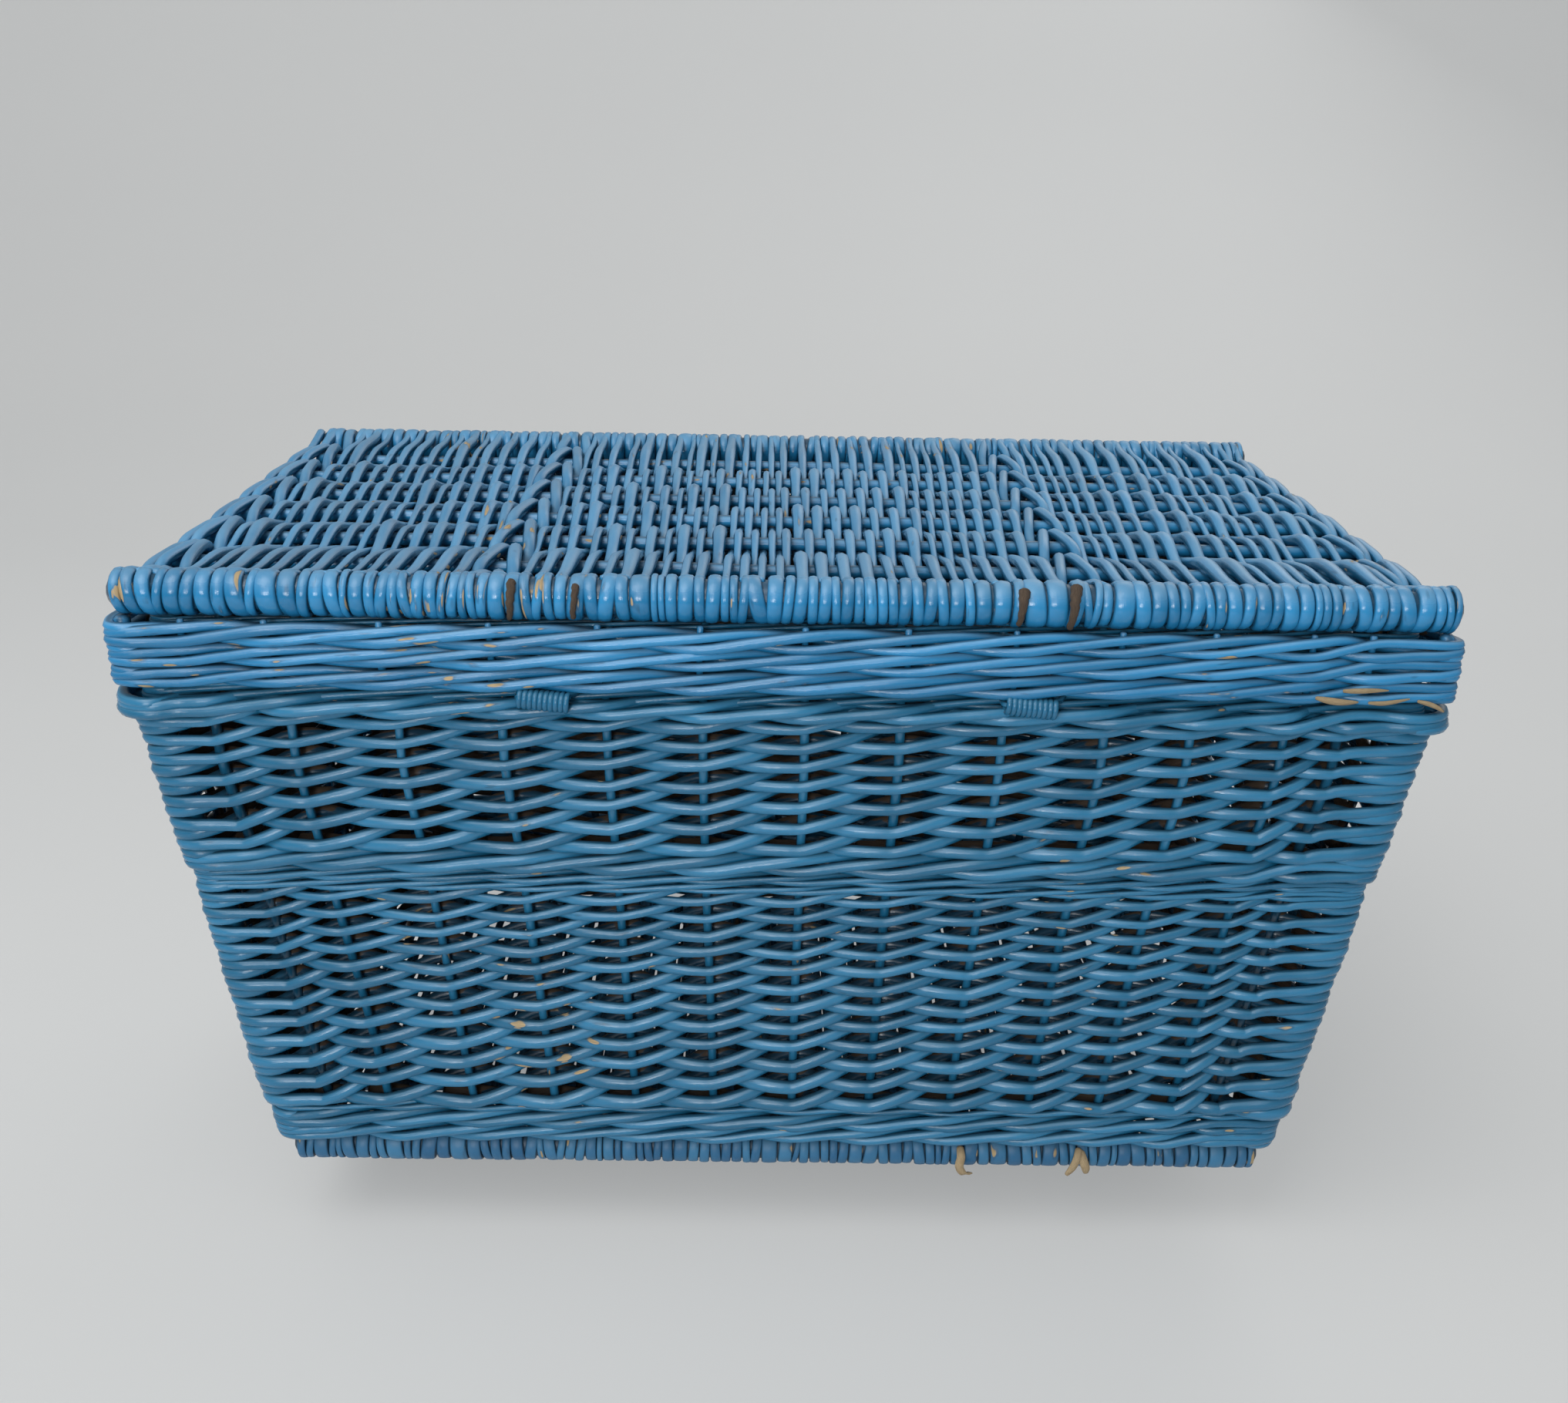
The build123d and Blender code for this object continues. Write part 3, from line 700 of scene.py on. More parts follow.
class StakeRing:
    """The ring of posts and stakes that rods are woven through.

    Number 0 is the front left post. The numbers run to the right along the front, back along the right
    end, and so on round to the front left post again.

    Attributes:
        front_shifts: how far the front stakes stand to the right of an even spacing.
        post_turn: how far from a post a rod bends round it, as a count of stakes.
        tail: how far a rod runs on past its first and its last stake, as a share of a space.
        tail_at: the same as a count of stakes, for its height and radius there.
    """

    front_shifts: tuple[float, ...] = (
        -2.5, 4.5, 8.0, 9.0, 10.0, 8.5, 8.0, 6.5, 7.5, 7.5, 2.0, -1.5, -4.5)
    post_turn: float = 0.08
    tail: float = 0.35
    tail_at: float = 0.3

    def __init__(self, line: Callable[[float], tuple[float, float]], stake_radius: float,
                 post_radius: float) -> None:
        """Numbers the stakes.

        Args:
            line: half sizes of the stakes' line along X and Y at a height.
            stake_radius: radius of a stake.
            post_radius: radius of a corner post.
        """
        self.line = line
        self.stake_radius = stake_radius
        self.post_radius = post_radius
        self.post_inset = post_radius - stake_radius
        back, end = self._shares(SIZES.shoulder_x), self._shares(SIZES.shoulder_y)
        front = [share + shift / SIZES.shoulder_x for share, shift in zip(back, self.front_shifts)]
        self.walls = [
            Wall(np.array([x, y, 0.0]), np.array([-y, x, 0.0]), shares, x != 0)
            for x, y, shares in ((0, -1, front), (1, 0, end), (0, 1, back), (-1, 0, end))
        ]
        self.spots: list[tuple[int, float | None]] = []
        for number, wall in enumerate(self.walls):
            self.spots += [(number, share) for share in (None, *wall.shares)]
        self.total = len(self.spots)
        self.posts = [number for number, spot in enumerate(self.spots) if spot[1] is None]
        self.stakes = [number for number in range(self.total) if number not in self.posts]

    @staticmethod
    def _shares(half: float) -> list[float]:
        """Places of a wall's stakes as shares of its half length, as in the solids.

        Args:
            half: the wall's half length at the shoulder.

        Returns:
            The places, from first to last.
        """
        last = half - SIZES.corner_inset
        count = int((last - SIZES.stake_pitch / 2) / SIZES.stake_pitch)
        inner = [SIZES.stake_pitch * step for step in range(-count, count + 1)]
        return [place / half for place in [-last, *inner, last]]

    def wall(self, number: int) -> Wall:
        """The wall that a stake stands in, or that follows a post."""
        return self.walls[self.spots[number % self.total][0]]

    def _point(self, number: int, height: float, off: float, inset: float | None = None) -> Array:
        """A point of a wall, at one of its stakes or in from its first corner.

        Args:
            number: the stake, or the post at the wall's first corner.
            height: height of the point.
            off: how far it lies outside the stakes' line.
            inset: its distance along the wall from the corner, or None for a point at the stake.

        Returns:
            The point.
        """
        wall, (half_x, half_y) = self.wall(number), self.line(height)
        half, distance = (half_y, half_x) if wall.is_end else (half_x, half_y)
        place = inset - half if inset is not None else self.spots[number % self.total][1] * half
        point = wall.out * (distance + off) + wall.along * place
        point[2] = height
        return point

    def stake(self, number: int, height: float, off: float = 0.0) -> Array:
        """A point at a stake, off to the outside by a distance."""
        return self._point(number, height, off)

    def corner(self, number: int, height: float) -> Array:
        """The middle of a post at a height."""
        return self._point(number, height, -self.post_inset, self.post_inset)

    def corner_ways(self, number: int) -> tuple[Array, Array]:
        """Outward directions of the walls before and after a post."""
        wall = self.spots[number % self.total][0]
        return self.walls[wall - 1].out, self.walls[wall].out

    def share(self, number: int, share: float, height: float, off: float) -> Array:
        """A point between a stake and the next one, off to the outside.

        Args:
            number: the first of the two.
            share: how far it lies towards the next one, from 0 to 1.
            height: its height.
            off: its distance from the stakes' line.

        Returns:
            The point.
        """
        ends = []
        for spot, way in ((number % self.total, 1), ((number + 1) % self.total, 0)):
            if spot in self.posts:
                ends.append(self.corner(spot, height) + self.corner_ways(spot)[way] * self.post_inset)
            else:
                ends.append(self.stake(spot, height))
        return ends[0] * (1 - share) + ends[1] * share + self.wall(number).out * off

    def weave(self, start: int, steps: int, way: Callable[[int], Way],
              height: Callable[[float], float], radius: Callable[[float], float],
              reach: float = 0.0, hug: float = 1.0, kink: float = 0.0, corner: float = 0.0,
              belly: float = 0.0) -> tuple[Array, Array]:
        """The line of a rod woven through the stakes and outside the posts.

        Args:
            start: number of the first stake.
            steps: how many stakes it goes on for. A post isn't counted.
            way: on which side it passes each stake, by the count of stakes so far.
            height: its height at a count of stakes.
            radius: its radius at a count of stakes.
            reach: how much further out the whole rod lies.
            hug: how closely it lies to the stakes on the inside.
            kink: how far from an outside stake the rod stays flat on it, as a share of a space.
            corner: how much further out it lies at the posts.
            belly: how far out it lies half way from an outside to an inside stake, as a share.

        Returns:
            The points and the radii.
        """
        keys: list[Array] = []

        def put(point: Array, at: float) -> None:
            """Adds a key at a count of stakes."""
            keys.append(np.array([*point[:2], height(at), radius(at)]))

        def offset(side: float, rod: float) -> float:
            """How far out of the stakes' line a rod lies at a side, from 1 outside to -1 inside."""
            off = side * (self.stake_radius + rod)
            return off + reach * side if side > 0 else off * hug

        number, at = start, 0.0
        while True:
            here = number % self.total
            level, rod = height(at), radius(at)
            if here in self.posts:
                side = Way.OUTSIDE.value
                middle = self.corner(here, level)
                before, after = self.corner_ways(here)
                far = self.post_radius + rod + reach + corner
                put(middle + before * far, at - self.post_turn)
                put(middle + (before + after) / math.sqrt(2) * far, at)
                put(middle + after * far, at + self.post_turn)
            else:
                side = way(round(at)).value
                off = offset(side, rod)
                if at == 0:
                    put(self.share(number - 1, 1 - self.tail, level, off), -self.tail_at)
                if kink and side > 0:
                    put(self.share(number - 1, 1 - kink, level, off), at - kink)
                put(self.stake(here, level, off), at)
                if kink and side > 0:
                    put(self.share(number, kink, level, off), at + kink)
                if at >= steps:
                    put(self.share(number, self.tail, level, off), at + self.tail_at)
                    return smooth_rod(keys, 3 if kink else 4)
            after_post = (number + 1) % self.total in self.posts
            span = 0.5 if here in self.posts or after_post else 1.0
            next_side = Way.OUTSIDE.value if after_post else way(round(at + span)).value
            half = 0.5 * (side + next_side) or belly
            middle_at = at + span / 2
            off = offset(half, radius(middle_at))
            put(self.share(number, 0.5, height(middle_at), off), middle_at)
            number, at = number + 1, at + span


@dataclass
class RandedPanel:
    """A panel of French randing: one rod for each stake, each rising to the right.

    Attributes:
        name: name of the piece.
        nodes: the solids it stands for.
        low, high: heights of its lower and upper edge.
        rows: how many floats stand one above the other.
        swell: pitch of the lowest row over the mean pitch.
        butt, tip: radius of a rod at its start and at its end.
        dip: how far a float sags at its stake, as a share of the pitch.
        seed: seed of its unevenness.
        oval: how thick a rod is through the wall, as a share of its height.
        belly: how far out a rod lies half way to the next stake, as a share.
        closer: how much thicker the rods are on the ends and the back.
        closer_start, closer_fade: how far behind the front's foot that starts, and over how much.
        inner_swell: how much thicker a rod is at its inside stakes.
        fade: over how many stakes the dips start and end.
        kink: how far a rod stays flat on an outside stake, as a share of a space.
        jog, jolt, slack, grade: unevenness of a rod's height, dips, place and thickness.
    """

    name: str
    nodes: Sequence[str]
    low: float
    high: float
    rows: int
    swell: float
    butt: float
    tip: float
    dip: float
    seed: int
    oval: float = 0.86
    belly: float = 0.45
    closer: float = 0.18
    closer_start: float = 14.0
    closer_fade: float = 20.0
    inner_swell: float = 0.09
    fade: float = 1.2
    kink: float = 0.12
    jog: float = 0.40
    jolt: float = 0.16
    slack: float = 0.25
    grade: float = 0.06

    def height(self, at: float) -> float:
        """Height of a rod's line after a number of stakes, dips left out."""
        share = at / (2 * self.rows)
        return self.low + (self.high - self.low) * (self.swell * share + (1 - self.swell) * share**2)

    def build(self, ring: StakeRing, material: Material) -> Object:
        """Weaves the panel round the body.

        Args:
            ring: the stakes.
            material: finish of the rods.

        Returns:
            The finished piece.
        """
        random = np.random.default_rng(self.seed)
        bundle = RodBundle(self.name, seed=self.seed)
        steps = 2 * self.rows
        front = -(SIZES.shoulder_y - SIZES.taper)
        for start in ring.stakes:
            jog = random.normal(0, self.jog, steps + 4)
            dips = 1 + random.normal(0, self.jolt, steps + 4)
            thick = 1 + random.normal(0, self.grade)
            slack = random.normal(0, self.slack)

            def height(at: float) -> float:
                """Height of the rod, with its dips."""
                fade = min(1.0, max(at, 0.0) / self.fade, max(steps - at, 0.0) / self.fade)
                spot = within(at, steps)
                wave = 2 * abs(spot % 2 - 1) - 1
                pitch = self.height(spot + 1) - self.height(spot - 1)
                dip = self.dip * pitch * wave * dips[round(spot)]
                return self.height(spot) + fade * (dip + between(jog, spot) + slack)

            def radius(at: float) -> float:
                """Radius of the rod."""
                spot = within(at, steps)
                swell = 1 + self.inner_swell * (2 * abs(spot % 2 - 1) - 1)
                return thick * swell * (self.butt + (self.tip - self.butt) * spot / steps)

            path, radii = ring.weave(
                start, steps, lambda count: Way.OUTSIDE if count % 2 else Way.INSIDE,
                height, radius, kink=self.kink, belly=self.belly,
            )
            hidden = np.clip((path[:, 1] - front - self.closer_start) / self.closer_fade, 0, 1)
            bundle.add(path, radii * (1 + self.closer * hidden), broad=self.oval)
        return bundle.piece(Body.BASKET, material, self.nodes, deep=body_depth)


@dataclass
class Wale:
    """A round of three-rod waling: each rod passes outside two stakes and inside one.

    Attributes:
        height: height of the round's middle.
        rod: diameter of its rods.
        turn: which stake the first rod goes behind.
        reach: how much further out the round lies than the stakes ask for.
        start, steps: first stake and count of stakes.
        hug: how closely the rods lie to the stakes on the inside.
        climb: how far a rod swings up and down, as a share of its diameter.
        corner: how much further out the rods lie at the posts.
        back_lift: how much higher the round lies along the back.
        back_slim: how much thinner its rods are there, as a share.
        back_start, back_fade: the Y place where the back starts, and over how much it does so.
        jog, grade: unevenness of a rod's height and thickness, as shares of its diameter.
        grades: in how many parts the thickness changes.
    """

    height: float
    rod: float
    turn: int = 0
    reach: float = 0.0
    start: int = 23
    steps: int = 40
    hug: float = 1.0
    climb: float = 0.62
    corner: float = 0.0
    back_lift: float = 0.0
    back_slim: float = 0.0
    back_start: float = 90.0
    back_fade: float = 65.0
    jog: float = 0.09
    grade: float = 0.07
    grades: int = 8

    def build(self, ring: StakeRing, bundle: RodBundle, seed: int) -> None:
        """Adds the round's three rods to a bundle.

        Args:
            ring: the stakes.
            bundle: the bundle.
            seed: seed of the rods' unevenness.
        """
        random = np.random.default_rng(seed)
        for strand in range(3):
            phase = strand + self.turn
            jog = random.normal(0, self.jog * self.rod, self.steps + 4)
            thick = 1 + random.normal(0, self.grade, self.grades + 2)

            def height(at: float) -> float:
                """Height of the rod as it swings over its neighbours."""
                spot = within(at, self.steps)
                swing = self.climb * self.rod * math.sin(2 * math.pi * (at - phase) / 3)
                return self.height - swing + between(jog, spot)

            def radius(at: float) -> float:
                """Radius of the rod."""
                spot = within(at, self.steps) / self.steps * self.grades
                return self.rod / 2 * between(thick, spot)

            path, radii = ring.weave(
                self.start, self.steps,
                lambda count: Way.INSIDE if (count - phase) % 3 == 0 else Way.OUTSIDE,
                height, radius, reach=self.reach, hug=self.hug, corner=self.corner,
            )
            back = np.clip((path[:, 1] - self.back_start) / self.back_fade, 0, 1)
            path[:, 2] += self.back_lift * back
            bundle.add(path, radii * (1 - self.back_slim * back))


@dataclass
class WaleBand:
    """Rounds of waling that lie on one another as one piece.

    Attributes:
        name: name of the piece.
        nodes: the solids it stands for.
        rounds: the rounds.
        seed, first_round_seed: seeds of the rods' tones and of the first round.
    """

    name: str
    nodes: Sequence[str]
    rounds: Sequence[Wale]
    seed: int
    first_round_seed: int

    def build(self, ring: StakeRing, body: Body, material: Material) -> Object:
        """Weaves the rounds.

        Args:
            ring: the stakes.
            body: the body the piece rides on.
            material: finish of the rods.

        Returns:
            The finished piece.
        """
        bundle = RodBundle(self.name, seed=self.seed)
        for number, wale in enumerate(self.rounds):
            wale.build(ring, bundle, self.first_round_seed + number)
        deep = body_depth if body is Body.BASKET else skirt_depth
        return bundle.piece(body, material, self.nodes, deep=deep)


@dataclass
class Uprights:
    """Stakes and posts of the body or of the lid's skirt.

    Attributes:
        name: first word of the names of both pieces.
        ring: the ring they stand in.
        body: the body they ride on.
        heights: heights of the points that each follows, lowest first.
        end_foot: height at which the end walls' stakes start.
        corner_step: how far the stakes beside a post stand in.
        bend, grade: unevenness of a stake's line and thickness.
        thinning: how much thicker than its mean a stake's foot is, and how much thinner its top.
    """

    name: str
    ring: StakeRing
    body: Body
    heights: Sequence[float]
    end_foot: float
    corner_step: float = 0.0
    bend: float = 0.35
    grade: float = 0.06
    thinning: tuple[float, float] = (1.04, 0.94)

    def build(self, material: Material, stake_nodes: Sequence[str],
              post_nodes: Sequence[str]) -> Iterator[Object]:
        """Builds the stakes as one piece and the posts as another.

        Args:
            material: their finish.
            stake_nodes: solids of the stakes.
            post_nodes: solids of the posts.

        Yields:
            The two pieces.
        """
        ring, random = self.ring, np.random.default_rng(5)
        stakes = RodBundle(f"{self.name}_stakes", seed=6)
        posts = RodBundle(f"{self.name}_posts", sides=12, seed=7)
        for number in ring.posts:
            keys = [[*ring.corner(number, level), ring.post_radius] for level in self.heights]
            posts.add(*smooth_rod(keys, 4), reference=(0, 1, 0))
        for number in ring.stakes:
            wall = ring.wall(number)
            foot = self.end_foot if wall.is_end else self.heights[0]
            beside_post = {number - 1, (number + 1) % ring.total} & set(ring.posts)
            # Standing in, these stakes lie deeper, which darkens them with more painted shade.
            off = -self.corner_step if beside_post else 0.0
            keys = np.array([ring.stake(number, z, off) for z in (foot, *self.heights[1:])])
            keys[1:-1, :2] += random.normal(0, self.bend, (len(keys) - 2, 2))
            radius = ring.stake_radius * (1 + random.normal(0, self.grade))
            radii = np.linspace(*(radius * share for share in self.thinning), len(keys))
            stakes.add(*smooth_rod(np.column_stack([keys, radii]), 4), reference=wall.along)
        deep = body_depth if self.body is Body.BASKET else skirt_depth
        yield stakes.piece(self.body, material, stake_nodes, deep=deep)
        yield posts.piece(self.body, material, post_nodes, deep=deep)


@dataclass
class WrappedDeck:
    """A flat deck of rods that go over and under sticks and wrap the rail at either edge.

    Attributes:
        name: first word of the names of its pieces.
        body: the body it rides on.
        rail_y, rail_z, rail_radius: place and outer radius of the wrapped rails.
        half: half length of the deck.
        stick_count, stick_radius: how many sticks lie evenly between the rails, and their radius.
        pitch: mean width of a wrap.
        seed: seed of its unevenness.
        deep: tells how deep a point of the rods lies.
        gaps: X ranges that are left to cords.
        stick_end: how far the ends of a stick stand in from the deck's.
        flat_at: a height below which the deck is worn flat.
        double_width: width of a wrap from which two rods start.
        widest_rod: largest radius of a rod.
        wrap_thick, wrap_share: thickness of a wrap, at most and as a share of its width.
        wrap_square: how round its section is.
        wrap_fill: how much of its place a wrap fills.
        wrap_points: how many points a wrap has.
        core_inset: how far the rod under the wraps lies below their outside.
        full, tight: how much thicker a rod is over a stick, and how closely it lies to it.
        worn_share, worn_spot: how many wraps have a worn spot, and how worn it is.
        worn_end, worn_length: how worn the wraps at the left end are, and over what length.
        worn_angle, worn_width: where on a wrap the spot lies and how wide it is, in radians.
    """

    name: str
    body: Body
    rail_y: float
    rail_z: float
    rail_radius: float
    half: float
    stick_count: int
    stick_radius: float
    pitch: float
    seed: int
    deep: Callable[[Array], Array]
    gaps: Sequence[tuple[float, float]] = ()
    stick_end: float = 1.0
    flat_at: float | None = None
    double_width: float = 7.0
    widest_rod: float = 3.15
    wrap_thick: float = 2.3
    wrap_share: float = 0.42
    wrap_square: float = 0.82
    wrap_fill: float = 1.0
    wrap_points: int = 25
    core_inset: float = 2.2
    full: float = 1.18
    tight: float = 0.84
    worn_share: float = 0.22
    worn_spot: float = 0.33
    worn_end: float = 0.42
    worn_length: float = 10.0
    worn_angle: float = 1.35
    worn_width: float = 0.55

    def __post_init__(self) -> None:
        """Places the sticks."""
        self.stick_pitch = 2 * self.rail_y / (self.stick_count + 1)
        self.sticks = [-self.rail_y + self.stick_pitch * (n + 1) for n in range(self.stick_count)]

    def places(self, narrowest: float = 2.5) -> Iterator[tuple[float, float]]:
        """Places and widths of the wraps along the rails.

        Args:
            narrowest: room at the right end that is too small for a wrap.

        Yields:
            X place and width of a wrap.
        """
        random = np.random.default_rng(self.seed)
        end = self.half - 0.5
        x = -end
        while x < self.half - narrowest:
            width = self.pitch * float(np.clip(random.lognormal(-0.04, 0.32), 0.5, 1.6))
            width = min(width, end - x)
            yield x + width / 2, width
            x += width

    def build(self, material: Material) -> Iterator[Object]:
        """Builds sticks, rails with their wraps, and rods.

        Args:
            material: their finish.

        Yields:
            The four pieces.
        """
        random = np.random.default_rng(self.seed + 1)
        sticks = RodBundle(f"{self.name}_stick_rods", sides=10, seed=self.seed)
        reach = self.half - self.stick_end
        for place in self.sticks:
            keys = [[x, place + random.normal(0, 0.5), self.rail_z + random.normal(0, 0.25)]
                    for x in np.linspace(-reach, reach, 9)]
            sticks.add(smooth_path(keys, 4), self.stick_radius, knots=0.04)
        yield sticks.piece(self.body, material, [f"{self.name}_sticks"], deep=self.deep)

        rails = [RodBundle(f"{self.name}_{side}_rail_wraps", sides=10, seed=self.seed + number)
                 for side, number in (("front", 2), ("back", 3))]
        for bundle, side in zip(rails, (-1, 1)):
            ends = [[end * (self.half - 0.8), side * self.rail_y, self.rail_z] for end in (-1, 1)]
            bundle.add(smooth_path(ends, 12), self.rail_radius - self.core_inset, knots=0.01)
        weave = RodBundle(f"{self.name}_weave_rods", seed=self.seed + 4)
        first = 1
        for x, width in self.places():
            self._wrap(rails, x, width, random)
            if any(low < x < high for low, high in self.gaps):
                continue
            count = 2 if width > self.double_width else 1
            share = width / count
            for part in range(count):
                rod = min(share / 2 * random.uniform(0.94, 1.10), self.widest_rod)
                first = -first
                middle = x + (part - (count - 1) / 2) * share
                weave.add(*self._crossing(middle, rod, first, random), reference=(1, 0, 0))
        for bundle, side in zip(rails, WALLS):
            yield bundle.piece(self.body, material, [f"{self.name}_{side}_rail"],
                               deep=self._rail_depth, lowest=self.flat_at)
        yield weave.piece(self.body, material, [f"{self.name}_weave"], deep=self.deep,
                          lowest=self.flat_at)

    def _rail_depth(self, points: Array, skin: float = 0.7, deepest: float = 0.75) -> Array:
        """How deep points of the rails lie between the wraps, from 0 to 1."""
        around = np.hypot(np.abs(points[:, 1]) - self.rail_y, points[:, 2] - self.rail_z)
        return np.clip((self.rail_radius - skin - around) / self.core_inset, 0, deepest)

    def _wrap(self, rails: Sequence[RodBundle], x: float, width: float,
              random: np.random.Generator) -> None:
        """Adds a flattened turn of one rod about each rail.

        Args:
            rails: the bundles of the front and of the back rail.
            x: X place of the turn.
            width: width of its place.
            random: source of its unevenness.
        """
        turns = np.linspace(0, 2 * math.pi, self.wrap_points)
        half_width = width / 2 * self.wrap_fill
        for bundle, side in zip(rails, (-1, 1)):
            thick = min(width * self.wrap_share, self.wrap_thick) * random.uniform(0.88, 1.05)
            around = self.rail_radius - thick - max(random.normal(0.15, 0.3), 0.0)
            lean = random.normal(0, 0.8)
            worn = self.worn_spot if random.uniform() < self.worn_share else 0.0
            if x < -self.half + self.worn_length:
                worn = self.worn_end
            away = (turns - random.normal(self.worn_angle, 0.35)) / self.worn_width
            spot = worn * np.exp(-(away**2))
            path = np.column_stack([
                x + lean * np.cos(turns),
                side * (self.rail_y + around * np.sin(turns)),
                self.rail_z + around * np.cos(turns),
            ])
            bundle.add(path, half_width, reference=(1, 0, 0), broad=thick / half_width,
                       square=self.wrap_square, knots=0.02, wear=spot)

    def _crossing(self, x: float, rod: float, first: int,
                  random: np.random.Generator) -> tuple[Array, Array]:
        """The line and radii of one rod from rail to rail.

        Args:
            x: its X place.
            rod: its radius.
            first: 1 where it goes over the first stick, -1 where it goes under it.
            random: source of its unevenness.

        Returns:
            The points and the radii.
        """
        keys: list[list[float]] = []
        full = rod * self.full
        reach = (self.stick_radius + full) * self.tight
        sway, lean = random.normal(0, 0.4), random.normal(0, 0.7)
        over_rail = self.rail_radius - rod - 0.4
        beside_rail = over_rail * 0.35 + reach * 0.65
        edge = self.rail_y - self.rail_radius
        last = first * (-1) ** (self.stick_count - 1)

        def put(y: float, z: float, size: float) -> None:
            """Adds a key at a Y place and a height over the sticks."""
            keys.append([x + sway + lean * y / self.rail_y, y, self.rail_z + z, size])

        put(-self.rail_y, first * over_rail, rod)
        put(-edge, first * beside_rail, rod)
        for step, place in enumerate(self.sticks):
            put(place, first * (-1) ** step * reach * random.uniform(0.95, 1.05), full)
            if step < self.stick_count - 1:
                put(place + 0.5 * self.stick_pitch, random.normal(0, 0.3), rod * 0.98)
        put(edge, last * beside_rail, rod)
        put(self.rail_y, last * over_rail, rod)
        return smooth_rod(keys, 5)


@dataclass
class TwinedPair:
    """Two rods twined about each other across the sticks of a deck.

    Attributes:
        middle: X place of the pair.
        rod: radius of a rod.
        swing: how far a rod swings to either side.
        lean: 1 where the strokes on top lean right towards the back, -1 where they lean left.
        rise: how high the strokes rise, as a share of what the sticks ask for.
        splay: how much further to the right the pair lies at the back.
        edge: how far from a rail's middle the twining starts to flatten out.
        steepness: how steeply a rod goes from the top to the underside.
    """

    middle: float
    rod: float
    swing: float
    lean: int
    rise: float = 0.82
    splay: float = 0.0
    edge: float = 16.0
    steepness: float = 2.0

    def build(self, deck: WrappedDeck, bundle: RodBundle) -> None:
        """Adds both rods to a bundle.

        Args:
            deck: the deck they lie in.
            bundle: the bundle.
        """
        reach = (deck.stick_radius + self.rod) * self.rise
        top = deck.rail_radius - self.rod - 0.5
        ys = np.linspace(-deck.rail_y, deck.rail_y, 150)
        fade = np.clip((deck.rail_y - np.abs(ys)) / self.edge, 0, 1)
        for start in (0, 1):
            turn = math.pi * ((ys - deck.sticks[0]) / deck.stick_pitch + start)
            sway = np.arcsin(np.sin(turn) * 0.98) / (math.pi / 2)
            x = self.middle + self.lean * self.swing * sway * (0.35 + 0.65 * fade)
            x += self.splay * ((ys + deck.rail_y) / (2 * deck.rail_y)) ** 1.3
            level = np.tanh(self.steepness * np.cos(turn)) / math.tanh(self.steepness) * reach
            z = deck.rail_z + level * fade + (1 - fade) * np.sign(level) * top
            bundle.add(np.column_stack([x, ys, z]), self.rod, reference=(1, 0, 0), knots=0.04)


@dataclass(frozen=True)
class CatchLoop:
    """A catch loop at the front of the ledge: a bar on two legs, with a thin rod wound round it.

    Attributes:
        radius, length: outer radius and length of the winding.
        wire, turns: radius of the wound rod and how often it goes round.
        bar: radius of the bar.
        height, place_y: where the bar lies.
        leg: how far back the legs reach.
        droop: how much lower the bar's right end hangs.
    """

    radius: float = 5.1
    length: float = 26.0
    wire: float = 1.4
    turns: int = 10
    bar: float = 1.35
    height: float = 287.0
    place_y: float = -174.0
    leg: float = 16.0
    droop: float = 2.4

    def build(self, side: str, x: float, material: Material) -> Object:
        """Builds the loop at an X place.

        Args:
            side: left or right, the first word of its name.
            x: its X place.
            material: its finish.

        Returns:
            The finished piece.
        """
        bundle = RodBundle(f"{side}_catch", seed=3)
        half, y, z = self.length / 2, self.place_y, self.height
        leg = [(half - 1.5, self.leg, -1.5), (half - 1.3, 6, -0.3), (half - 2.0, 1.2, 0),
               (half - 5.0, 0, 0)]
        outline = [(-a, b, c) for a, b, c in leg] + [(0, 0, 0)] + leg[::-1]
        bundle.add(smooth_path(np.array(outline) + (x, y, z), 6), self.bar)
        angle = np.linspace(0, 2 * math.pi * self.turns, self.turns * 18)
        reach = self.radius - self.wire
        along = np.linspace(0, 1, len(angle))
        sag = 0.3 * np.sin(along * math.pi) + self.droop * (along - 0.25)
        coil = np.column_stack([
            x + (2 * along - 1) * (half - self.wire),
            y + reach * np.sin(angle),
            z - sag + reach * np.cos(angle),
        ])
        tail = [[x + half + 1.0, y + 3.0, z + 1.2], [x + half + 3.2, y + 6.0, z + 2.6]]
        bundle.add(np.vstack([coil, tail]), self.wire, reference=(1, 0.02, 0.01), knots=0.02)
        return bundle.piece(Body.BASKET, material, [f"{side}_catch_loop"])


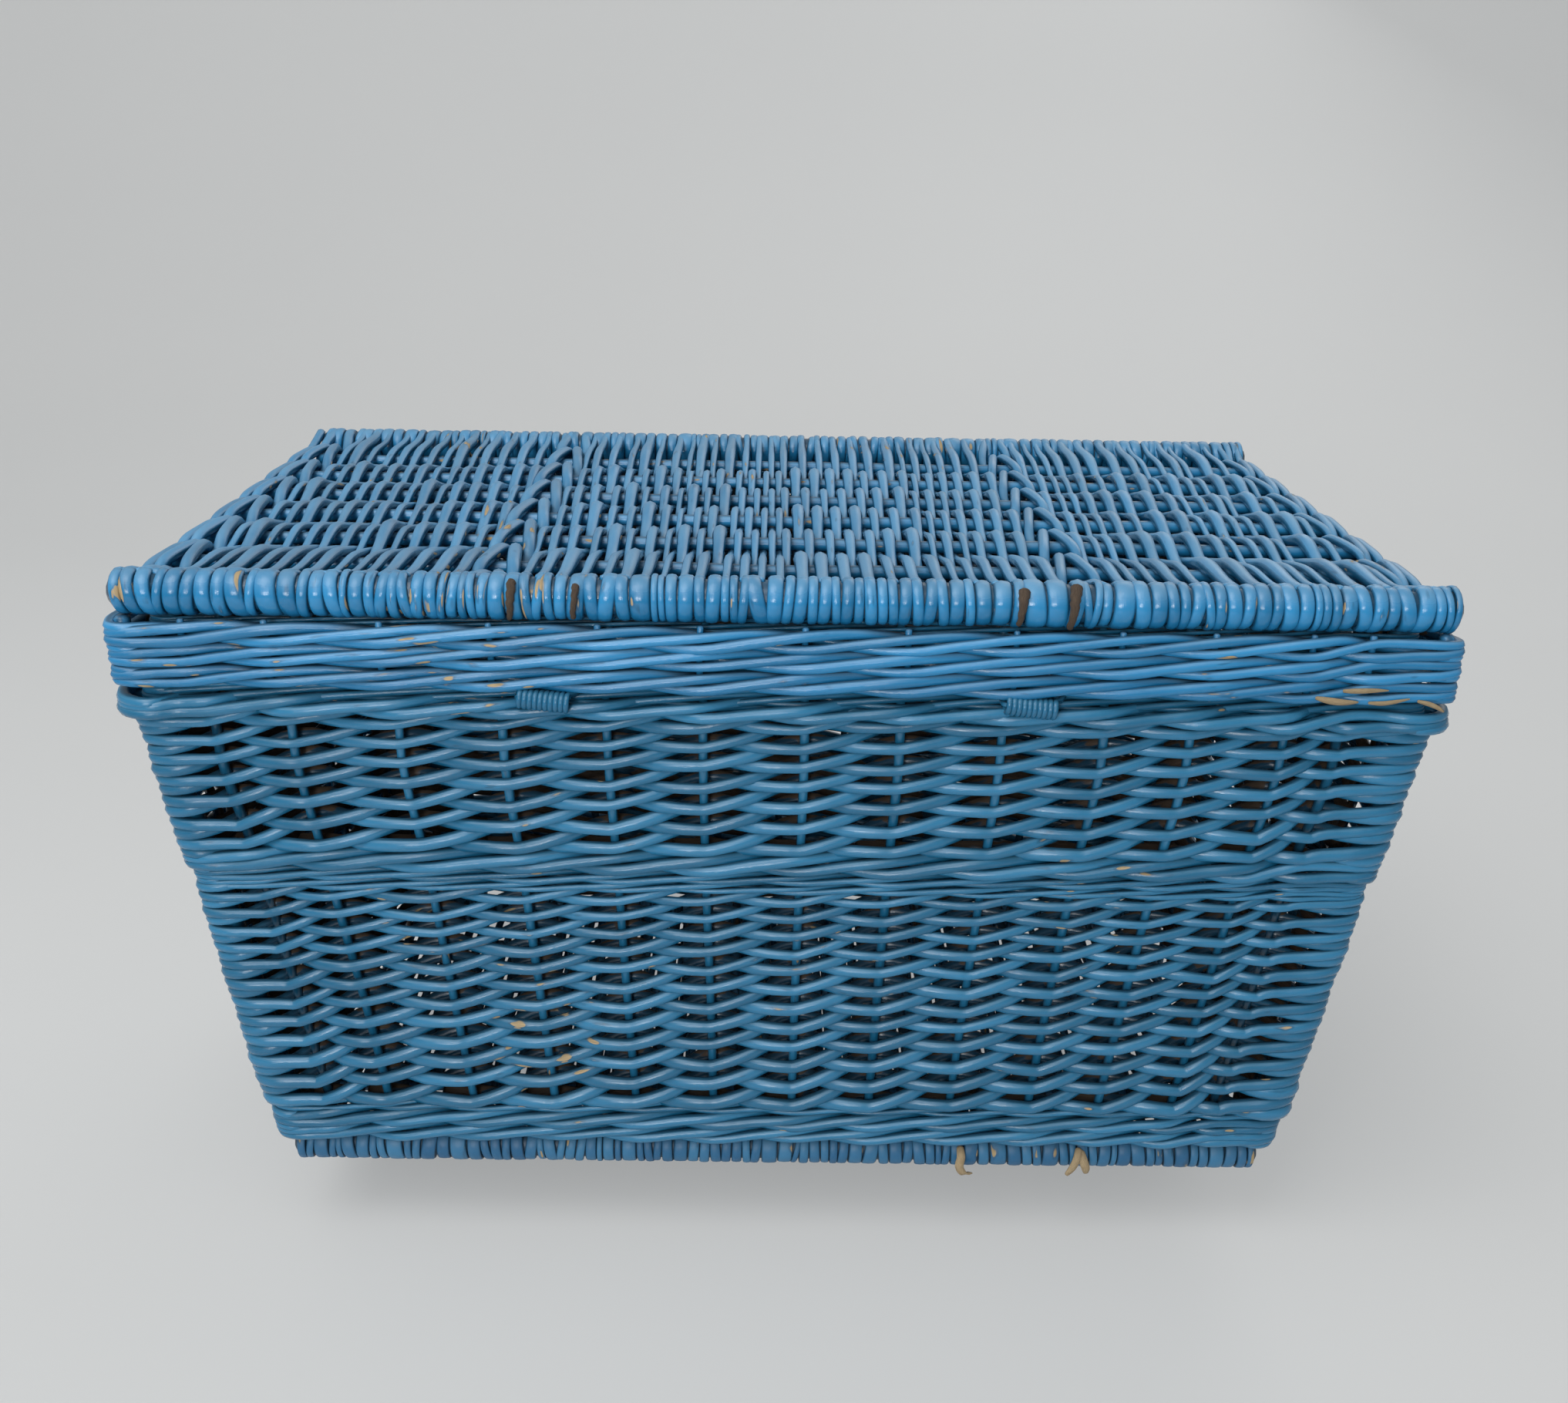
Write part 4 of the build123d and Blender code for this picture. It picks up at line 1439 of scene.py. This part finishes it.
@dataclass(frozen=True)
class HingeLoop:
    """A willow loop at the back: three rods side by side round the hinge pin and the ledge.

    Attributes:
        width: width of the loop.
        wire: radius of a rod.
        bore: radius left for the pin.
        ledge_y, ledge_height, ledge_radius: the turn round the ledge.
    """

    width: float = 9.6
    wire: float = 1.55
    bore: float = 2.7
    ledge_y: float = 170.6
    ledge_height: float = 281.0
    ledge_radius: float = 6.6

    def build(self, side: str, x: float, material: Material) -> Object:
        """Builds the loop at an X place.

        Args:
            side: left or right, the first word of its name.
            x: its X place.
            material: its finish.

        Returns:
            The finished piece.
        """
        bundle = RodBundle(f"{side}_hinge", seed=4)
        pin = (SIZES.hinge_y, SIZES.hinge_height, self.bore + self.wire, -5, 185)
        ledge = (self.ledge_y, self.ledge_height, self.ledge_radius, 190, 350)
        ring = [(y + radius * math.cos(a), z + radius * math.sin(a))
                for y, z, radius, first, last in (pin, ledge)
                for a in np.radians(np.linspace(first, last, 12))]
        ring.append(ring[0])
        for number in (-1, 0, 1):
            place = x + number * (self.width - 2 * self.wire) / 2
            path = smooth_path([(place, y, z) for y, z in ring], 2)
            bundle.add(path, self.wire, reference=(1, 0, 0), knots=0.02)
        return bundle.piece(Body.BASKET, material, [f"{side}_hinge_loop"])


@dataclass(frozen=True)
class RimBorder:
    """The twisted border of two thin rods that ties the stake tops.

    Attributes:
        height, line_height: height of its middle, and of the stakes' line that it follows.
        rod: radius of a rod.
        twist, rise: how far a rod swings sideways and up.
        step, turn: length of a step along the border, and the turn of the twist in it.
    """

    height: float = 320.6
    line_height: float = 320.7
    rod: float = 1.05
    twist: float = 0.8
    rise: float = 0.75
    step: float = 5.0
    turn: float = 0.42

    def build(self, material: Material) -> Object:
        """Builds the border.

        Args:
            material: its finish.

        Returns:
            The finished piece.
        """
        bundle = RodBundle("rim_border", seed=9)
        x, y = SIZES.line(self.line_height)
        corners = np.array([[-x, -y], [x, -y], [x, y], [-x, y], [-x, -y]])
        flat = np.vstack([
            np.linspace(a, b, int(np.linalg.norm(b - a) / self.step), endpoint=False)
            for a, b in zip(corners[:-1], corners[1:])
        ])
        for start in (0.0, math.pi):
            turn = np.arange(len(flat)) * self.turn + start
            sway = self.twist * np.cos(turn)
            bundle.add(np.column_stack([
                flat[:, 0] + sway, flat[:, 1] + sway, self.height + self.rise * np.sin(turn),
            ]), self.rod)
        return bundle.piece(Body.BASKET, material, ["rim_cap"])


@dataclass
class Basket:
    """The body of the trunk, painted but for the scuffed base.

    Attributes:
        paint, scuffed: finishes of the walls and of the base. The walls' paint is darker, as painted
            shade.
        rail_height, rail_radius, rail_inset: the base's rails, and how far inside the stakes they lie.
        base_half: half length of the base.
        heights: heights that the stakes and posts go through.
        end_foot: height at which the stakes of the ends start.
        corner_step: how far the stakes beside a post stand in.
        hinge_x, catch_x: how far from the middle the loops are.
    """

    paint: Material
    scuffed: Material
    rail_height: float = 9.0
    rail_radius: float = 9.4
    rail_inset: float = 4.5
    base_half: float = 260.4
    heights: tuple[float, ...] = (18.3, 100.0, 190.0, 272.0, 296.0, 318.0)
    end_foot: float = 4.0
    corner_step: float = 3.6
    hinge_x: float = 209.5
    catch_x: float = 110.0

    def bands(self) -> tuple[WaleBand, ...]:
        """The four bands of waling, from the foot up.

        Returns:
            The bands, each with its rounds.
        """
        rim = ((289.5, 2.6, 1), (294.6, 2.4, 0), (299.4, 2.3, 1), (304.0, 2.2, 0), (308.4, 2.2, 2),
               (312.8, 2.2, 1), (317.0, 2.0, 0))
        return (
            WaleBand("upset_rods", ["upset_wale"],
                     (Wale(24.4, 5.4, 0), Wale(33.8, 5.2, 2), Wale(41.6, 3.2, 1)), 41, 410),
            WaleBand("middle_rods", ["middle_wale"],
                     (Wale(182.4, 2.9, 1), Wale(188.0, 3.1, 0), Wale(197.0, 5.8, 2)), 42, 420),
            WaleBand("ledge_rods", ["ledge_wale"],
                     (Wale(280.4, 5.3, 0, reach=4.2, climb=0.5, corner=3.8),
                      Wale(278.0, 3.4, 1), Wale(284.4, 3.4, 2)), 43, 430),
            WaleBand("rim_rods", ["rim_band"], [Wale(*row) for row in rim], 44, 440),
        )

    def build(self) -> Iterator[Object]:
        """Builds base, uprights, panels, wales, border and loops.

        Yields:
            Each piece as it is finished.
        """
        ring = StakeRing(SIZES.line, SIZES.stake_radius, SIZES.post_radius)
        rail_y = SIZES.line(self.rail_height)[1] - self.rail_inset
        yield from WrappedDeck(
            "base", Body.BASKET, rail_y, self.rail_height, self.rail_radius, self.base_half,
            stick_count=4, stick_radius=3.6, pitch=6.0, seed=61, deep=base_depth, flat_at=0.0,
            wrap_thick=1.5, wrap_square=0.66, wrap_fill=0.95,
        ).build(self.scuffed)
        uprights = Uprights("body", ring, Body.BASKET, self.heights, self.end_foot, self.corner_step)
        yield from uprights.build(
            self.paint, [f"{wall}_stakes" for wall in WALLS],
            [f"{wall}_{side}_post" for wall in WALLS[:2] for side in WALLS[2:]],
        )
        for level, seed, *sizes in (("lower", 21, 43.0, 182.0, 12, 1.20, 4.05, 2.45, 0.26),
                                    ("upper", 22, 202.0, 278.5, 7, 1.14, 3.55, 2.95, 0.23)):
            nodes = [f"{wall}_{level}_weave" for wall in WALLS]
            yield RandedPanel(f"{level}_randing", nodes, *sizes, seed).build(ring, self.paint)
        for band in self.bands():
            yield band.build(ring, Body.BASKET, self.paint)
        yield RimBorder().build(self.paint)
        for side, place in (("left", -1), ("right", 1)):
            yield HingeLoop().build(side, place * self.hinge_x, self.paint)
            yield CatchLoop().build(side, place * self.catch_x, self.paint)


@dataclass
class Lid:
    """The lid with its skirt, hinge pin and hasp stubs.

    Attributes:
        paint, bare: its two finishes.
        left_end, right_end: X places beyond which the cords of the ends lie.
        inner: how far from the middle the inner cords lie.
        cord_room: half the room that an inner cord takes up.
        stake_radius, post_radius, heights: the skirt's uprights and the heights they go through.
        hug: how closely the skirt's rods lie to them on the inside.
        pin_half, pin_radius: half length and radius of the hinge pin.
        stubs: X place and length in degrees round the rail of each broken hasp end.
    """

    paint: Material
    bare: Material
    left_end: float = -276.0
    right_end: float = 279.0
    inner: float = 135.0
    cord_room: float = 12.0
    stake_radius: float = 1.8
    post_radius: float = 3.5
    heights: tuple[float, ...] = (292.2, 306.0, 320.6)
    hug: float = 0.72
    pin_half: float = 299.0
    pin_radius: float = 2.35
    stubs: tuple[tuple[float, float], ...] = ((-122.0, 50), (-94.0, 42), (103.0, 44), (126.0, 55))

    def build(self) -> Iterator[Object]:
        """Builds deck, cords, skirt, pin and stubs.

        Yields:
            Each piece as it is finished.
        """
        inner, room = self.inner, self.cord_room
        deck = WrappedDeck(
            "lid", Body.LID, SIZES.rail_y, SIZES.rail_height, SIZES.rail_radius, SIZES.rail_half,
            stick_count=6, stick_radius=3.3, pitch=6.1, seed=31, deep=lid_depth, stick_end=8.0,
            gaps=((-math.inf, self.left_end), (-inner - room, -inner + room),
                  (inner - room, inner + room), (self.right_end, math.inf)),
        )
        yield from deck.build(self.paint)
        for cord, *pairs in (
            ("left_end", (-293.8, 2.9, 1.7, 1, 0.48, -8.0), (-287.2, 3.0, 2.6, 1, 0.82, -5.5),
             (-279.8, 3.1, 3.0, -1, 0.82, -2.5)),
            ("right_end", (294.6, 2.4, 1.4, 1, 0.45), (289.0, 2.3, 2.8, 1), (282.8, 2.2, 2.8, -1)),
            ("left_inner", (-inner - 5.2, 3.3, 3.9, 1), (-inner + 5.6, 3.3, 3.2, -1)),
            ("right_inner", (inner - 5.2, 2.8, 3.6, 1), (inner + 5.2, 2.8, 3.6, -1)),
        ):
            name = f"{cord}_twining"
            bundle = RodBundle(name, sides=10, seed=len(name))
            for pair in pairs:
                TwinedPair(*pair).build(deck, bundle)
            yield bundle.piece(Body.LID, self.paint, [f"{cord}_cords"], deep=lid_depth)
        yield from self._skirt()
        yield self._pin()
        yield self._stubs()

    def _skirt(self) -> Iterator[Object]:
        """Builds the skirt's uprights, its rounds and its lower edge.

        Yields:
            Each piece as it is finished.
        """
        ring = StakeRing(lambda _: (SIZES.skirt_x, SIZES.skirt_y), self.stake_radius, self.post_radius)
        yield from Uprights("skirt", ring, Body.LID, self.heights, self.heights[0]).build(
            self.paint, [f"{wall}_skirt_stakes" for wall in WALLS], ["lid_posts"])
        rounds = [Wale(height, 4.9, turn, hug=self.hug, climb=0.66, back_lift=lift, back_slim=0.22)
                  for height, turn, lift in ((305.4, 0, 2.6), (315.3, 2, 0.6))]
        nodes = [f"{wall}_skirt_wale" for wall in WALLS] + ["skirt_backing"]
        edge = Wale(295.3, 5.0, 1, start=37, steps=26, hug=self.hug)
        yield WaleBand("skirt_rods", nodes, rounds, 51, 500).build(ring, Body.LID, self.paint)
        yield WaleBand("skirt_edge_rods", ["skirt_edge"], [edge], 52, 520).build(
            ring, Body.LID, self.paint)

    def _pin(self) -> Object:
        """Builds the hinge pin.

        Returns:
            The finished piece.
        """
        bundle = RodBundle("hinge_pin_rod", sides=12, seed=53)
        ends = [[side * self.pin_half, SIZES.hinge_y, SIZES.hinge_height] for side in (-1, 1)]
        bundle.add(smooth_path(ends, 40), self.pin_radius, knots=0.01)
        return bundle.piece(Body.LID, self.paint, ["lid_hinge_pin"])

    def _stubs(self) -> Object:
        """Builds the four stubs of the broken hasps.

        Returns:
            The finished piece.
        """
        bundle = RodBundle("hasp_ends", seed=54)
        random = np.random.default_rng(55)
        around = SIZES.rail_radius + 0.8
        for x, long in self.stubs:
            angle = np.radians(np.linspace(180 - long, 180 + long * 0.8, 14))
            path = np.column_stack([
                x + random.normal(0, 0.4, 14) * 0.4 + np.linspace(0.8, -0.8, 14),
                -SIZES.rail_y + around * np.cos(angle),
                SIZES.rail_height + around * np.sin(angle),
            ])
            bundle.add(path, np.linspace(2.3, 1.4, 14), reference=(1, 0, 0), knots=0.18)
        return bundle.piece(Body.LID, self.bare, ["hasp_stubs"], slot=Slot.BARE)


@dataclass(frozen=True)
class Frays:
    """Torn strips of fresh wood.

    Attributes:
        name: name of the piece.
        body: the body it rides on.
        torn: finish of fresh torn wood.
        strips: the points that each strip follows.
        seed: seed of its unevenness.
        width: half width of a strip at its widest.
        root, end: its width swells as a sine that starts at root and stops end short of half a turn.
        thick: how thick a strip is, as a share of its width.
        knots: how uneven it is.
        reference: a direction that no strip runs along.
    """

    name: str
    body: Body
    torn: Material
    strips: Sequence[Sequence[Sequence[float]]]
    seed: int
    width: float
    root: float
    end: float
    thick: float
    knots: float
    reference: Sequence[float]

    def build(self) -> Iterator[Object]:
        """Builds the strips as one piece.

        Yields:
            The piece.
        """
        bundle = RodBundle(self.name, sides=6, seed=self.seed)
        for keys in self.strips:
            path = smooth_path(keys, 6)
            swell = np.sin(np.linspace(self.root, math.pi - self.end, len(path))) ** 0.6
            bundle.add(path, self.width * swell, self.reference, broad=self.thick, knots=self.knots)
        yield bundle.piece(self.body, self.torn, slot=Slot.BARE)


SKIRT_STRIPS = (
    ((238, -176.8, 293.6), (244, -177.5, 292.6), (250, -177.6, 292.0), (257, -177.0, 291.9)),
    ((262, -176.9, 291.6), (268, -177.7, 291.8), (274, -177.8, 292.8), (280, -177.0, 293.8)),
    ((284, -177.0, 292.8), (289, -178.1, 291.8), (293, -178.5, 290.2), (296, -178.0, 288.2)),
    ((250, -176.4, 297.0), (257, -177.3, 297.4), (264, -177.4, 297.8), (270, -176.8, 297.6)),
)
BASE_STRIPS = (
    ((99, -137.6, 15.5), (99.4, -140.6, 11.5), (98.6, -142.2, 6.5), (101, -142.4, 2.6),
     (105.5, -141.4, 1.9)),
    ((163.5, -137.4, 15.0), (162.2, -140.6, 11.0), (159.6, -142.4, 6.4), (156.8, -143.2, 3.0)),
    ((164.5, -137.8, 13.5), (165.8, -140.6, 10.0), (167.2, -141.8, 6.0), (167.6, -141.6, 3.0)),
)


@dataclass(frozen=True)
class Studio:
    """Floor, lights and camera. A share of the floor shows its own pale colour to the camera.

    Attributes:
        yaw, pitch, roll: the camera's angles in degrees.
        place, lens: where it stands and its focal length.
        profile: the floor's line from front to back, as Y and height in metres.
        floor_dark, floor_light: the floor's own colours.
        pale, pale_share: the colour it shows to the camera, and how much of it.
        sky, sky_strength: the world's light.
        lamps: name, place, height aimed at, size and power of each lamp.
    """

    yaw: float = 0.61
    pitch: float = 21.14
    roll: float = 1.02
    place: tuple[float, float, float] = (-0.0076, -0.7901, 0.5255)
    lens: float = 33.63
    profile: tuple[tuple[float, float], ...] = (
        (-4.0, 0.0), (0.9, 0.0), (1.3, 0.03), (1.7, 0.16), (2.0, 0.45), (2.15, 0.9), (2.2, 4.0))
    floor_dark: Colour = (0.63, 0.635, 0.63)
    floor_light: Colour = (0.66, 0.665, 0.655)
    pale: Colour = (0.585, 0.595, 0.595)
    pale_share: float = 0.5
    sky: Colour = (0.93, 0.96, 1.0)
    sky_strength: float = 0.32
    lamps: tuple[tuple[str, tuple[float, float, float], float, float, float], ...] = (
        ("key", (-0.55, -2.3, 0.78), 0.25, 0.55, 16.0),
        ("front", (-0.4, -1.9, 1.3), 0.2, 1.2, 10.0),
        ("top", (-0.7, -0.8, 2.1), 0.2, 1.5, 31.0),
        ("rear", (0.9, 1.6, 1.5), 0.2, 1.5, 11.0),
    )

    def camera(self) -> None:
        """Sets the camera at the photo's place and angle."""
        yaw, pitch, roll = (math.radians(a) for a in (self.yaw, self.pitch, self.roll))
        forward = Vector((math.sin(yaw) * math.cos(pitch), math.cos(yaw) * math.cos(pitch),
                          -math.sin(pitch)))
        level = Vector((math.cos(yaw), -math.sin(yaw), 0))
        upright = level.cross(forward)
        right = math.cos(roll) * level + math.sin(roll) * upright
        above = math.cos(roll) * upright - math.sin(roll) * level
        data = bpy.data.cameras.new("camera")
        data.lens = self.lens
        data.sensor_width = 36.0
        data.clip_start, data.clip_end = 0.01, 50.0
        cam = link_object("camera", data)
        turn = Matrix((right, above, -forward)).transposed().to_4x4()
        cam.matrix_world = Matrix.Translation(Vector(self.place)) @ turn
        bpy.context.scene.camera = cam

    def floor(self) -> None:
        """A pale floor that curves up behind the trunk."""
        line = smooth_path([[0, y, z] for y, z in self.profile], 8)
        vertices = [(x, y, z) for _, y, z in line for x in (-6.0, 6.0)]
        faces = [(2 * i, 2 * i + 1, 2 * i + 3, 2 * i + 2) for i in range(len(line) - 1)]
        mesh = bpy.data.meshes.new("floor")
        mesh.from_pydata(vertices, [], faces)
        mesh.polygons.foreach_set("use_smooth", [True] * len(faces))
        f = Finish("pale_floor")
        grain = f.noise(f.node("ShaderNodeTexCoord").outputs["Object"], 3.0)
        f.surface(f.mix(grain, self.floor_dark, self.floor_light), 0.8)
        seen = f.node("ShaderNodeLightPath").outputs["Is Camera Ray"]
        pale = f.node("ShaderNodeEmission", Color=(*self.pale, 1.0))
        both = f.node("ShaderNodeMixShader")
        shaders = (f.times(seen, self.pale_share), f.shader.outputs[0], pale.outputs[0])
        for value, socket in zip(shaders, both.inputs):
            f.feed(value, socket)
        f.feed(both.outputs[0], f.out.inputs[0])
        mesh.materials.append(f.material)
        link_object("floor", mesh)

    def lights(self) -> None:
        """Soft light from above and the left, and smaller lamps in front and behind."""
        world = bpy.data.worlds.new("world")
        world.use_nodes = True
        background = world.node_tree.nodes["Background"]
        background.inputs["Color"].default_value = (*self.sky, 1.0)
        background.inputs["Strength"].default_value = self.sky_strength
        bpy.context.scene.world = world
        for name, place, aim, size, power in self.lamps:
            data = bpy.data.lights.new(name, "AREA")
            data.shape = "SQUARE"
            data.size = size
            data.energy = power
            lamp = link_object(name, data)
            lamp.location = place
            direction = Vector((0, 0, aim)) - Vector(place)
            lamp.rotation_euler = direction.to_track_quat("-Z", "Y").to_euler()
            lamp.visible_camera = False

    def build(self) -> None:
        """Sets up all of it."""
        self.camera()
        self.floor()
        self.lights()
        bpy.context.scene.view_settings.view_transform = "Standard"


def main() -> None:
    """Builds the studio, the basket, the lid and the torn strips, and reports each piece."""
    logging.basicConfig(level=logging.INFO, format="%(name)s %(message)s")
    Studio().build()
    paint = BluePaint().make()
    # A darker copy of the lid's paint for the body: painted shade on walls that lean out and face
    # down, away from the light above.
    shaded_basket_paint = BluePaint(
        name="shaded_basket_paint", deep_blue=(0.009, 0.106, 0.208), light_blue=(0.025, 0.178, 0.335),
        dust=(0.065, 0.180, 0.250), dust_share=0.5, wear_level=0.79,
    ).make()
    bare = BareWillow().make()
    torn = BareWillow("torn_willow", (0.270, 0.190, 0.100), (0.520, 0.410, 0.250)).make()
    scuffed = BluePaint(
        name="scuffed_paint", deep_blue=(0.010, 0.095, 0.210), light_blue=(0.032, 0.165, 0.310),
        dust=(0.070, 0.175, 0.250), gloss=0.42, dust_share=0.4, wear_level=0.775, seam_start=0.72,
        seam_shade=0.80,
    ).make()
    parts = (
        Basket(shaded_basket_paint, scuffed),
        Lid(paint, bare),
        Frays("skirt_frays", Body.LID, torn, SKIRT_STRIPS, seed=71, width=1.5, root=0.35, end=0.15,
              thick=0.45, knots=0.20, reference=(0, 0, 1)),
        Frays("base_frays", Body.BASKET, torn, BASE_STRIPS, seed=72, width=2.8, root=0.8, end=0.35,
              thick=0.28, knots=0.10, reference=(1, 0, 0)),
    )
    for part in parts:
        for piece in part.build():
            LOG.info("%s: %d faces", piece.name, len(piece.data.polygons))


if __name__ == "__main__":
    main()
